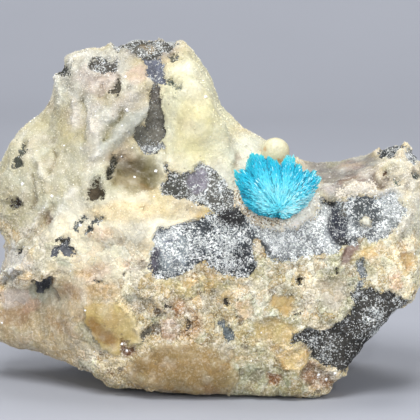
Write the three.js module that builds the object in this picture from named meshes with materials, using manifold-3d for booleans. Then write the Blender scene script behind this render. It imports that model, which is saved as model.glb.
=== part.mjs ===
// Cavansite on matrix: a fan of bright blue crystal blades on the ledge of a broken block of
// dark basalt and cream zeolite.
// Millimetres, +Z up, +X to the right of the show face, which looks towards -Y. The origin is
// on the surface that the block stands on, inside its flat foot.

import * as THREE from "three";
import { ImprovedNoise } from "three/addons/math/ImprovedNoise.js";
import { mergeVertices } from "three/addons/utils/BufferGeometryUtils.js";
import Module from "manifold-3d";

const wasm = await Module();
wasm.setup();
const noise = new ImprovedNoise();

// The block is carved from its show-face outline by broken walls, so these are its driving
// dimensions. Its skin is found on a cubic grid of cells that holds the whole block.
const CELL = 1.76;
const GRID_LOW = new THREE.Vector3(-35.3, -17.2, -3.9);
const GRID_HIGH = new THREE.Vector3(35.5, 19.4, 53.4);
const EDGE_ROUND = 2.2;
const JOIN_ROUND = 2.5;
const LUMP_ROUND = 1.6;
const FOOT_SPARE = 2;
const FOOT_DEPTH = 20;
const FOOT_WIDTH = 200;

// Outline of the show face, as x and z, clockwise from the left end.
const OUTLINE = [
  [-32.2, 4.9], [-32.6, 10.3], [-30.8, 13.2], [-29.4, 15.4], [-28.8, 18.5], [-30.2, 23.9],
  [-30.8, 29.4], [-27.8, 34.6], [-24.0, 39.7], [-22.9, 42.2], [-22.9, 43.9], [-21.9, 46.2],
  [-19.6, 47.3], [-14.6, 47.5], [-13.2, 48.6], [-11.6, 49.1], [-5.9, 48.8], [-4.0, 48.0], [-2.7, 46.8],
  [-1.4, 45.0], [0.5, 41.9], [1.1, 39.0], [3.2, 36.6], [5.9, 35.2], [8.4, 34.4], [11.2, 31.6],
  [14.3, 29.7], [17.8, 30.2], [21.8, 31.0], [23.5, 32.2], [26.6, 34.6], [28.2, 33.6],
  [29.8, 32.2], [31.8, 27.6], [32.6, 23.4], [31.9, 19.3], [29.4, 15.2], [26.4, 12.4],
  [22.0, 7.4], [19.2, 4.1], [17.2, 1.2], [15.5, -2.0], [10.0, -8.0], [-8.0, -8.0],
  [-13.2, -2.0], [-14.6, 0.2], [-17.6, 2.7], [-21.2, 4.3], [-25.4, 5.0],
];

// Broken walls, each the plane through three of its points. A lump is what lies behind all its
// walls, on the side of its own middle.
const FOOT_BLOCK = {
  middle: [2, 1, 15],
  walls: {
    showFace: [[-12, -11.6, 8], [17, -12.6, 4], [6, -12.2, 24]],
    showFaceLeft: [[-29, -2, 14], [-13, -10.8, 27], [-13, -11.6, 6]],
    leftUndercut: [[-29, -3, 6.2], [-14, -11.6, 1.2], [-12, -2, -2]],
    frontFoot: [[-13, -11.2, 2.2], [9, -11.8, 0], [-11, -2, 0]],
    basaltBand: [[-10, -11.8, 24], [26, -11.2, 23], [8, -9.3, 30]],
    ledge: [[0, -9.4, 29.6], [22, -9.2, 29.4], [6, 4, 36.4]],
    rightEnd: [[29, -10, 15], [33, 2, 22], [28, -6, 32]],
    rightLower: [[17, -12, 1], [29, -9, 15], [20, 8, 1]],
    backWall: [[-20, 13, 6], [20, 13.5, 6], [0, 15.5, 26]],
    backLeft: [[-30, 2, 10], [-18, 13, 12], [-27, 7, 30]],
    backRight: [[31, 3, 18], [20, 13, 14], [25, 9, 30]],
    backTop: [[-20, 9, 34], [20, 11, 30], [0, 3, 38]],
    backFoot: [[-18, 7, 0], [16, 8, 0], [0, 14, 9]],
  },
};
const LEFT_PEAK = {
  middle: [-11, 1, 32],
  walls: {
    druseSlope: [[-29.5, -1.5, 14], [-14, -10.4, 27], [-20.5, 4, 46]],
    druseFront: [[-14, -10.2, 27], [-7, -9.8, 29], [-13, 1, 49]],
    yellowFace: [[-7, -9.6, 29], [2.5, -8.4, 31], [-3, 1.2, 48]],
    rightWall: [[3.4, -6, 32], [4, 6, 34], [-0.6, 4, 48]],
    summit: [[-20, 4, 48.8], [-12, 1, 51.4], [-2, 6, 50]],
    backWall: [[-27, 7, 30], [0, 12, 32], [-12, 8, 48]],
    backLeft: [[-30, 2, 24], [-26, 8, 28], [-21, 6, 44]],
    underside: [[-30, -1, 10.8], [-13, -10.6, 24], [2, 8, 24]],
  },
};
const RIGHT_SHOULDER = {
  middle: [27, -2, 26],
  walls: {
    showFace: [[20, -11.6, 20], [30, -10.6, 20], [27, -9.4, 33]],
    innerSlope: [[20, -8, 30.5], [21, 6, 31], [27, -5, 36]],
    innerEnd: [[16, -10, 16], [16, 6, 16], [18, -2, 31]],
    crest: [[24, -8, 35], [30, -8, 34], [27, 6, 33]],
    rightEnd: [[29, -10, 15], [33, 2, 22], [28.5, -6, 33]],
    backWall: [[21, 10, 22], [31, 6, 22], [27, 5, 33]],
    underside: [[20, -10, 12], [31, -6, 14], [24, 6, 10]],
  },
};
const BLOCK_LUMPS = [FOOT_BLOCK, LEFT_PEAK, RIGHT_SHOULDER];

// Rounded swellings of the zeolite crust, and hollows broken or dissolved into it: the centre,
// the half-sizes along x, y and z, and the lean to the right from straight up, in degrees.
const SWELLINGS = {
  crustOverOliveHollow: { at: [-12.3, -3.8, 38.5], half: [2.6, 2.7, 7.6], lean: 34 },
  drusyRidge: { at: [-17.6, 0.6, 43], half: [2.0, 2.5, 5.8], lean: 23 },
  lowRidge: { at: [-18.6, -3.2, 34], half: [1.8, 2.4, 6.5], lean: 48 },
  yellowLump: { at: [-2.2, -3.3, 38.5], half: [3.9, 3.2, 8.6], lean: -8 },
  ridgeBehindLedge: { at: [18.5, 7.5, 27.2], half: [9, 4.2, 5.4], lean: 0 },
  knobBehindFan: { at: [4.4, 4.2, 34.6], half: [2.4, 2.4, 2.4], lean: 0 },
  lipOfLeftSlope: { at: [-21, -6.6, 20.5], half: [2.2, 2.0, 7.0], lean: 52 },
  amberCrustAtLeftFoot: { at: [-15, -8.4, 10.2], half: [5.0, 2.6, 4.2], lean: 0 },
  tanCrustAtFrontFoot: { at: [-1.2, -9.6, 4.4], half: [6.0, 3.0, 3.0], lean: 0 },
};
const HOLLOWS = {
  oliveHollow: { at: [-10.4, -9.6, 31.2], half: [3.9, 2.6, 3.0], lean: 0 },
  holeInLeftFace: { at: [-23.4, -6.4, 13.8], half: [1.8, 2.6, 1.8], lean: 0 },
  grooveOfDarkVein: { at: [-8.0, -6.6, 40.0], half: [1.2, 2.2, 6.5], lean: 0 },
  gullyRightOfFan: { at: [18.0, -12.4, 25.6], half: [1.5, 2.2, 3.4], lean: -12 },
  dipBehindFrontEdge: { at: [17.0, -1.5, 31.6], half: [6.4, 5.2, 2.3], lean: 0 },
  hollowInBack: { at: [6, 16.5, 22], half: [7.5, 3.4, 5.5], lean: 25 },
};

// Roughness of the broken stone: height and wavelength of each size of bump, and where in the
// noise the first size is taken from.
const BUMPS = [
  { height: 1.1, wavelength: 11 },
  { height: 0.65, wavelength: 4.6 },
];
const BUMP_SHIFT = 17.3;

// The round zeolite bead that stands on the ledge behind the fan.
const BEAD = { at: [9.15, -3.6, 33.75], radius: 2, detail: 3 };

// The fan of cavansite. All its blades start at ROOT, on the front edge of the ledge, and join
// in a squashed heart there.
const ROOT = new THREE.Vector3(9.5, -10.9, 26.5);
const FAN_HEART = { at: [9.5, -10.7, 27.3], half: [3.0, 1.5, 2.0], detail: 2 };
const FAN_CLEARANCE = 0.3;

// The rim of the fan as the show face has it: the lean of a blade from straight up, in degrees
// and positive to the right, and how far the blade reaches from the root.
const FAN_RIM = [
  [-150, 1.5], [-120, 1.9], [-95, 2.9], [-77, 4.4], [-63, 5.6], [-54, 7.6], [-44, 8.1], [-36, 7.1],
  [-29, 8.6], [-18, 8.4], [-9, 7.6], [2, 6.4], [9, 7.3], [16, 7.5], [25, 6.8], [34, 6.7],
  [42, 7.4], [52, 7.1], [61, 5.5], [70, 4.5], [80, 3.3], [98, 1.9], [125, 1.7], [150, 1.5],
];

// The blades stand in sheets, one in front of the other: the tilt towards the viewer in degrees,
// the part of the rim that the sheet covers, its reach against the rim's, and how many blades.
const SHEETS = {
  back: { tilt: -15, from: -60, to: 60, reach: 0.94, blades: 11 },
  middle: { tilt: 1, from: -72, to: 70, reach: 1, blades: 15 },
  front: { tilt: 16, from: -92, to: 88, reach: 0.9, blades: 13 },
  belly: { tilt: 34, from: -106, to: 102, reach: 0.66, blades: 10 },
  foot: { tilt: 52, from: -150, to: 150, reach: 0.6, blades: 7 },
};

// No two blades are alike: how far their tilt, in degrees, and their share of the reach wave up
// and down from blade to blade, and how fast.
const TILT_WAVE = { size: 4, beat: 7 };
const REACH_WAVE = { size: 0.05, beat: 11 };

// A blade is widest at its shoulder, a share of the way up, and its flat top has a share of that
// width.
const BLADE_WIDTH = 1.5;
const BLADE_THICKNESS = 0.6;
const BLADE_SHOULDER = 0.9;
const BLADE_TOP_SHARE = 0.6;

// Signed distance from a point to the outline in the xz plane, negative inside.
function outlineDistance(x, z) {
  let nearest = Infinity;
  let inside = false;
  for (let i = 0, j = OUTLINE.length - 1; i < OUTLINE.length; j = i++) {
    const [ax, az] = OUTLINE[i];
    const [bx, bz] = OUTLINE[j];
    const ex = bx - ax;
    const ez = bz - az;
    const along = THREE.MathUtils.clamp(((x - ax) * ex + (z - az) * ez) / (ex * ex + ez * ez), 0, 1);
    nearest = Math.min(nearest, Math.hypot(x - ax - ex * along, z - az - ez * along));
    if (az > z !== bz > z && x < (ex * (z - az)) / ez + ax) inside = !inside;
  }
  return inside ? -nearest : nearest;
}

// The larger of two distances, rounded over where they are within `radius` of each other.
function roundMax(a, b, radius) {
  const overlap = Math.max(radius - Math.abs(a - b), 0) / radius;
  return Math.max(a, b) + (overlap * overlap * radius) / 4;
}

const roundMin = (a, b, radius) => -roundMax(-a, -b, radius);

// A wall as a plane that faces away from its lump's middle.
function wallPlane(corners, middle) {
  const plane = new THREE.Plane().setFromCoplanarPoints(...corners.map((c) => new THREE.Vector3(...c)));
  return plane.distanceToPoint(new THREE.Vector3(...middle)) > 0 ? plane.negate() : plane;
}

const LUMP_PLANES = BLOCK_LUMPS.map((lump) =>
  Object.values(lump.walls).map((corners) => wallPlane(corners, lump.middle)),
);

function lumpDistance(planes, point) {
  return planes.reduce(
    (most, plane) => roundMax(most, plane.distanceToPoint(point), LUMP_ROUND),
    -Infinity,
  );
}

// About the distance to a leaning ellipsoid: exact on its surface, negative inside.
function ellipsoidDistance({ at, half, lean }, point) {
  const turn = THREE.MathUtils.degToRad(lean);
  const [dx, dy, dz] = [point.x - at[0], point.y - at[1], point.z - at[2]];
  const across = dx * Math.cos(turn) - dz * Math.sin(turn);
  const along = dx * Math.sin(turn) + dz * Math.cos(turn);
  const share = Math.hypot(across / half[0], dy / half[1], along / half[2]);
  return (share - 1) * Math.min(...half);
}

// How far the bumps move the stone's surface at a point.
function roughness(point) {
  return BUMPS.reduce((sum, { height, wavelength }, i) => {
    const shift = BUMP_SHIFT * (i + 1);
    const value = noise.noise(
      point.x / wavelength + shift,
      point.y / wavelength + shift,
      point.z / wavelength + shift,
    );
    return sum + height * value;
  }, 0);
}

// Negative inside the block and positive outside it. The raw block goes on below its foot by
// FOOT_SPARE, and is cut flat there afterwards.
function blockDistance(point) {
  let d = LUMP_PLANES.map((planes) => lumpDistance(planes, point)).reduce((a, b) =>
    roundMin(a, b, JOIN_ROUND),
  );
  Object.values(SWELLINGS).forEach((s) => (d = roundMin(d, ellipsoidDistance(s, point), JOIN_ROUND)));
  Object.values(HOLLOWS).forEach((h) => (d = roundMax(d, -ellipsoidDistance(h, point), LUMP_ROUND)));
  d += roughness(point);
  d = roundMax(d, outlineDistance(point.x, point.z), EDGE_ROUND);
  return Math.max(d, -FOOT_SPARE - point.z);
}

const GRID_SIZE = GRID_HIGH.clone().sub(GRID_LOW).divideScalar(CELL).ceil().toArray();
const GRID_STEPS = [1, GRID_SIZE[0], GRID_SIZE[0] * GRID_SIZE[1]];
const AXES = [0, 1, 2];

// The block's distance at every corner of the grid.
function cornerDistances() {
  const distances = new Float32Array(GRID_SIZE[0] * GRID_SIZE[1] * GRID_SIZE[2]);
  const point = new THREE.Vector3();
  for (let k = 0, corner = 0; k < GRID_SIZE[2]; k++) {
    for (let j = 0; j < GRID_SIZE[1]; j++) {
      for (let i = 0; i < GRID_SIZE[0]; i++, corner++) {
        point.set(i, j, k).multiplyScalar(CELL).add(GRID_LOW);
        distances[corner] = blockDistance(point);
      }
    }
  }
  return distances;
}

const CORNER_DISTANCES = cornerDistances();

// A corner's number as its three steps along the grid.
function gridPlace(corner) {
  const k = Math.floor(corner / GRID_STEPS[2]);
  const j = Math.floor((corner - k * GRID_STEPS[2]) / GRID_STEPS[1]);
  return [corner - k * GRID_STEPS[2] - j * GRID_STEPS[1], j, k];
}

// Where the skin runs through the cell whose lowest corner is `corner`: the mean of the places
// where it crosses the cell's twelve edges.
function cellPoint(values, corner) {
  const sum = new THREE.Vector3();
  let crossings = 0;
  for (const axis of AXES) {
    const [side, up] = [GRID_STEPS[(axis + 1) % 3], GRID_STEPS[(axis + 2) % 3]];
    for (const [s, u] of [[0, 0], [1, 0], [0, 1], [1, 1]]) {
      const start = corner + s * side + u * up;
      const [a, b] = [values[start], values[start + GRID_STEPS[axis]]];
      if (a < 0 === b < 0) continue;
      const place = [0, 0, 0];
      place[axis] = a / (a - b);
      place[(axis + 1) % 3] = s;
      place[(axis + 2) % 3] = u;
      sum.add(new THREE.Vector3(...place));
      crossings++;
    }
  }
  return sum.divideScalar(crossings).add(new THREE.Vector3(...gridPlace(corner)));
}

// The skin of the block, grown outwards by `extra`: one point in each cell that the skin crosses,
// and one four-sided face round each grid edge that it crosses, split along its shorter diagonal.
function blockGeometry(extra) {
  const values = CORNER_DISTANCES.map((d) => d - extra);
  const points = [];
  const pointOfCell = new Map();
  const numberOf = (cell) => {
    if (!pointOfCell.has(cell)) {
      pointOfCell.set(cell, points.length);
      points.push(cellPoint(values, cell).multiplyScalar(CELL).add(GRID_LOW));
    }
    return pointOfCell.get(cell);
  };
  const faces = [];
  for (let corner = 0; corner < values.length; corner++) {
    const place = gridPlace(corner);
    for (const axis of AXES) {
      if (place[axis] === GRID_SIZE[axis] - 1) continue;
      const inside = values[corner] < 0;
      if (inside === values[corner + GRID_STEPS[axis]] < 0) continue;
      const [side, up] = [GRID_STEPS[(axis + 1) % 3], GRID_STEPS[(axis + 2) % 3]];
      const ring = [corner, corner - side, corner - side - up, corner - up].map(numberOf);
      const [a, b, c, d] = inside ? ring : ring.reverse();
      const split = points[a].distanceTo(points[c]) < points[b].distanceTo(points[d]);
      faces.push(...(split ? [a, b, c, a, c, d] : [a, b, d, b, c, d]));
    }
  }
  const geometry = new THREE.BufferGeometry().setFromPoints(points);
  geometry.setIndex(faces);
  return geometry;
}

// A three.js geometry as a solid that can be joined and cut. Faces that merging has shrunk to a
// line are left out.
function solidOf(geometry) {
  const bare = geometry.clone();
  bare.deleteAttribute("normal");
  bare.deleteAttribute("uv");
  const merged = mergeVertices(bare, 1e-4);
  const faces = [];
  const index = merged.index.array;
  for (let i = 0; i < index.length; i += 3) {
    const [a, b, c] = [index[i], index[i + 1], index[i + 2]];
    if (a !== b && b !== c && c !== a) faces.push(a, b, c);
  }
  return new wasm.Manifold(
    new wasm.Mesh({
      numProp: 3,
      vertProperties: merged.getAttribute("position").array,
      triVerts: new Uint32Array(faces),
    }),
  );
}

function geometryOf(solid) {
  const mesh = solid.getMesh();
  const geometry = new THREE.BufferGeometry();
  geometry.setAttribute("position", new THREE.BufferAttribute(mesh.vertProperties, 3));
  geometry.setIndex(new THREE.BufferAttribute(mesh.triVerts, 1));
  geometry.computeVertexNormals();
  return geometry;
}

// What lies below the surface that the block stands on.
function underfoot() {
  const box = new THREE.BoxGeometry(FOOT_WIDTH, FOOT_WIDTH, FOOT_DEPTH);
  return solidOf(box.translate(0, 0, -FOOT_DEPTH / 2));
}

function beadSolid(extra) {
  const geometry = new THREE.IcosahedronGeometry(BEAD.radius + extra, BEAD.detail);
  return solidOf(geometry.translate(...BEAD.at));
}

function matrixSolid() {
  return solidOf(blockGeometry(0)).subtract(underfoot()).add(beadSolid(0));
}

// How far the rim reaches from the root at a lean, between the two listed leans round it.
function rimReach(lean) {
  const next = FAN_RIM.findIndex(([listed]) => listed >= lean);
  const [leanA, reachA] = FAN_RIM[Math.max(next - 1, 0)];
  const [leanB, reachB] = FAN_RIM[next];
  return THREE.MathUtils.mapLinear(lean, Math.min(leanA, leanB - 1), leanB, reachA, reachB);
}

// One blade along +Z from the origin: it widens from a point to its shoulder and ends in a blunt
// chisel, with a flat six-sided section.
function bladeGeometry(length) {
  const half = BLADE_WIDTH / 2;
  const profile = [
    new THREE.Vector2(0, 0),
    new THREE.Vector2(half, length * BLADE_SHOULDER),
    new THREE.Vector2(half * BLADE_TOP_SHARE, length),
    new THREE.Vector2(0, length),
  ];
  const blade = new THREE.LatheGeometry(profile, 6).rotateX(Math.PI / 2);
  return blade.scale(1, BLADE_THICKNESS / BLADE_WIDTH, 1);
}

// The blades of one sheet, side by side, each turned so that its flat side lies in the sheet.
function sheetBlades(sheet, number) {
  return Array.from({ length: sheet.blades }, (_, i) => {
    const lean = THREE.MathUtils.lerp(sheet.from, sheet.to, i / (sheet.blades - 1));
    const tilt = sheet.tilt + TILT_WAVE.size * Math.sin(TILT_WAVE.beat * i + number);
    const reach = sheet.reach * (1 + REACH_WAVE.size * Math.sin(REACH_WAVE.beat * i + number));
    const turn = new THREE.Matrix4()
      .makeRotationY(THREE.MathUtils.degToRad(lean))
      .multiply(new THREE.Matrix4().makeRotationX(THREE.MathUtils.degToRad(tilt)));
    return bladeGeometry(rimReach(lean) * reach).applyMatrix4(turn).translate(...ROOT.toArray());
  });
}

function fanHeartSolid() {
  const geometry = new THREE.IcosahedronGeometry(1, FAN_HEART.detail);
  return solidOf(geometry.scale(...FAN_HEART.half).translate(...FAN_HEART.at));
}

// The whole fan as one solid, kept clear of the block and the bead by FAN_CLEARANCE.
function fanSolid() {
  const blades = Object.values(SHEETS).flatMap(sheetBlades).map(solidOf);
  const fan = blades.reduce((sum, blade) => sum.add(blade), fanHeartSolid());
  const clear = fan
    .subtract(solidOf(blockGeometry(FAN_CLEARANCE)))
    .subtract(beadSolid(FAN_CLEARANCE));
  return clear.decompose().sort((a, b) => b.volume() - a.volume())[0];
}

function namedMesh(name, solid, colour, roughness) {
  const material = new THREE.MeshStandardMaterial({
    color: colour,
    roughness,
    metalness: 0,
    flatShading: true,
  });
  const mesh = new THREE.Mesh(geometryOf(solid), material);
  mesh.name = name;
  return mesh;
}

const specimen = new THREE.Group();
specimen.add(
  namedMesh("matrix_block", matrixSolid(), "#d8cba6", 0.75),
  namedMesh("cavansite_fan", fanSolid(), "#1fb2dc", 0.35),
);

export default specimen;
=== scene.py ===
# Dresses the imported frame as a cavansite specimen: a broken block of speckled basalt under a
# sugary crust of cream zeolite, with one fan of bright blue cavansite blades on its ledge.
# Places and sizes are in millimetres here and are turned to metres where a mesh is made.
import itertools
import math

import bmesh
import bpy
import numpy as np
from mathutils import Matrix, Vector


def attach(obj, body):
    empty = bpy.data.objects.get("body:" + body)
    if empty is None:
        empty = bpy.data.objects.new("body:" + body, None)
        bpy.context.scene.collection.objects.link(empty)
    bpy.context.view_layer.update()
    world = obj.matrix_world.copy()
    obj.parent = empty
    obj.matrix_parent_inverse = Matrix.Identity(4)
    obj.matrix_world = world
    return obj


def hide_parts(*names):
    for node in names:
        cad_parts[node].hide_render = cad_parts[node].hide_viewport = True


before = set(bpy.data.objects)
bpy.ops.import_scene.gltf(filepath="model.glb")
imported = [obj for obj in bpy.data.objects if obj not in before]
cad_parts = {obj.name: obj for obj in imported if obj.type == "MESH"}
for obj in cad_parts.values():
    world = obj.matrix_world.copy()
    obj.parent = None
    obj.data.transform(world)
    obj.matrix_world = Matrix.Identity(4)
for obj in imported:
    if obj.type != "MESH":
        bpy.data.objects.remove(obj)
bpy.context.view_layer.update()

MM = 0.001
SEED = 41

# The view of the show face: the camera looks at AIM from DISTANCE away and RISE degrees above
# the level, and takes in VIEW_WIDTH there.
AIM = np.array([0.0, -5.0, 25.7])
DISTANCE = 420.0
RISE = math.radians(10)
VIEW_WIDTH = 58.8
SENSOR = 36.0
TO_EYE = np.array([0, -math.cos(RISE), math.sin(RISE)])

# The skin is the show face's by how far its normal points to the camera: not below the first
# value and fully above the second. A normal that points up, from not to fully by the values of
# FACES_UP, adds up to CREST_SEEN to that, so that the show face reaches over the crest.
SEEN_TURN = (-0.3, 0.05)
FACES_UP = (0.2, 0.7)
CREST_SEEN = 0.4

# The skin of the block, in mm: the width of its facets, how near to each other the solid's corners
# are merged, and how often the skin is evened out, so that the coarse solid's own edges don't
# show. It has no relief up to FOOT_FLAT above the ground, and all of it from FOOT_BLEND up.
SKIN_CELL = 0.355
SKIN_MERGE = 0.002
SKIN_EVENING = 16
FOOT_FLAT = 0.25
FOOT_BLEND = 1.3

# The round bead of zeolite behind the fan, and the root of the fan, as the solids have them, in
# mm. Skin is all bead up to full from its middle and no bead past reach or lower than neck, and
# the bead's surface has waves of this width and height.
BEAD = {"at": (9.15, -3.6, 33.75), "radius": 2.0, "full": 2.25, "reach": 2.7, "neck": -1.2,
        "waves": (1.2, 0.07)}
ROOT = np.array([9.5, -10.9, 26.5])


def smooth(low, high, value):
    """0 below low, 1 above high and an S-shaped rise between them."""
    part = np.clip((value - low) / (high - low), 0, 1)
    return part * part * (3 - 2 * part)


def blend(a, b, share):
    """a and b mixed by share, where share is one number for each row."""
    if np.ndim(a) == 2 or np.ndim(b) == 2 or np.shape(b) == (3,):
        share = np.asarray(share)[:, None]
    return a * (1 - share) + b * share


def linear(colour):
    """An sRGB hex colour such as #C9C2A6 as three linear values."""
    value = np.array([int(colour[i : i + 2], 16) for i in (1, 3, 5)]) / 255
    return np.where(value <= 0.04045, value / 12.92, ((value + 0.055) / 1.055) ** 2.4)


def rgba(colour):
    return (*linear(colour), 1.0)


# The grids of the patterns below are turned by this, so that none of them runs along the block.
GRID_TURN = np.array([[0.36, 0.48, -0.8], [-0.8, 0.6, 0.0], [0.48, 0.64, 0.6]])


def chance(cells, salt):
    """A number from 0 to 1 for each whole-numbered cell: its three numbers are multiplied by large
    primes and their bits mixed, so that the same cell always gets the same number."""
    x, y, z = (cells[..., i].astype(np.int64).astype(np.uint32) for i in range(3))
    mixed = x * np.uint32(73856093) ^ y * np.uint32(19349663) ^ z * np.uint32(83492791)
    mixed = (mixed ^ np.uint32(salt * 2654435 + 97)) * np.uint32(2246822519)
    mixed = (mixed ^ (mixed >> np.uint32(15))) * np.uint32(3266489917)
    return (mixed ^ (mixed >> np.uint32(13))).astype(np.float64) / 2**32


def waves(points, size, salt):
    """Smooth noise from -1 to 1: a chance value at each corner of a grid of cells `size` wide,
    blended across the cell by an S-shaped curve along each axis."""
    place = points @ GRID_TURN / size + 31.7 * salt
    cell = np.floor(place)
    part = place - cell
    part = part * part * part * (part * (part * 6 - 15) + 10)
    total = np.zeros(len(points))
    for corner in itertools.product((0, 1), repeat=3):
        corner = np.array(corner)
        weight = np.prod(np.where(corner == 1, part, 1 - part), axis=1)
        total += weight * chance(cell + corner, salt)
    return total * 2 - 1


def layers(points, size, salt, count=3):
    """Waves of `size` with finer ones on them, each half as wide and half as high."""
    total = sum(waves(points, size / 2**i, salt + i) / 2**i for i in range(count))
    return total / (2 - 2 / 2**count)


def knobs(points, size, salt):
    """Rounded knobs packed side by side: one centre at a chance place in each cell of a grid, and
    1 at a centre, falling with the square of the distance to 0 half-way to its neighbours."""
    place = points @ GRID_TURN / size + 13.1 * salt
    cell = np.floor(place)
    nearest = np.full(len(points), 9.0)
    for step in itertools.product((-1, 0, 1), repeat=3):
        near = cell + np.array(step)
        centre = near + np.stack([chance(near, salt + i) for i in range(3)], axis=1)
        nearest = np.minimum(nearest, np.sum((centre - place) ** 2, axis=1))
    return 1 - np.minimum(nearest / 0.6, 1)


def facets(points, size, salt):
    """Broken faces that meet in edges, from about 0 to 1: a centre at a chance place in each cell
    of a grid carries a plane of chance height and slant, which bends down with the square of the
    distance, and the highest plane counts. Also gives that plane's own chance number."""
    place = points @ GRID_TURN / size + 17.3 * salt
    cell = np.floor(place)
    highest = np.full(len(points), -9.0)
    number = np.zeros(len(points))
    for step in itertools.product((-1, 0, 1), repeat=3):
        near = cell + np.array(step)
        offset = place - near - np.stack([chance(near, salt + i) for i in range(3)], axis=1)
        slant = np.stack([chance(near, salt + 3 + i) for i in range(3)], axis=1) * 2 - 1
        own = chance(near, salt + 6)
        plane = 0.5 + 0.4 * own + 0.8 * np.sum(offset * slant, axis=1) - np.sum(offset**2, axis=1)
        number = np.where(plane > highest, own, number)
        highest = np.maximum(highest, plane)
    return np.clip(highest, -0.2, 1.4), number


def show_places(points):
    """Where points are seen on the show face: to the right and up of AIM, in mm at AIM's distance.
    What is nearer to the camera is seen larger, by the distances' ratio."""
    up = np.array([0, math.sin(RISE), math.cos(RISE)])
    offset = points - AIM
    larger = DISTANCE / (DISTANCE - offset @ TO_EYE)
    return np.stack([offset[:, 0] * larger, (offset @ up) * larger], axis=1)


def line_distance(places, line):
    """Distance from each place to a line of straight stretches: to the nearest point of each
    stretch, and the least of those."""
    nearest = np.full(len(places), np.inf)
    line = np.array(line, float)
    for a, b in zip(line[:-1], line[1:]):
        along = np.clip((places - a) @ (b - a) / max((b - a) @ (b - a), 1e-9), 0, 1)
        nearest = np.minimum(nearest, np.hypot(*(places - a - along[:, None] * (b - a)).T))
    return nearest


def patch_depth(places, outline):
    """How deep each place lies inside a closed outline, in mm, and negative outside it: the
    distance to the outline, with its sign from how often a line to the right crosses it."""
    ring = outline + outline[:1]
    depth = line_distance(places, ring)
    inside = np.zeros(len(places), bool)
    for (ax, ay), (bx, by) in zip(ring[:-1], ring[1:]):
        spans = (ay > places[:, 1]) != (by > places[:, 1])
        slope = (bx - ax) / (by - ay) if by != ay else 0
        inside ^= spans & (places[:, 0] < ax + (places[:, 1] - ay) * slope)
    return np.where(inside, depth, -depth)


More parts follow.
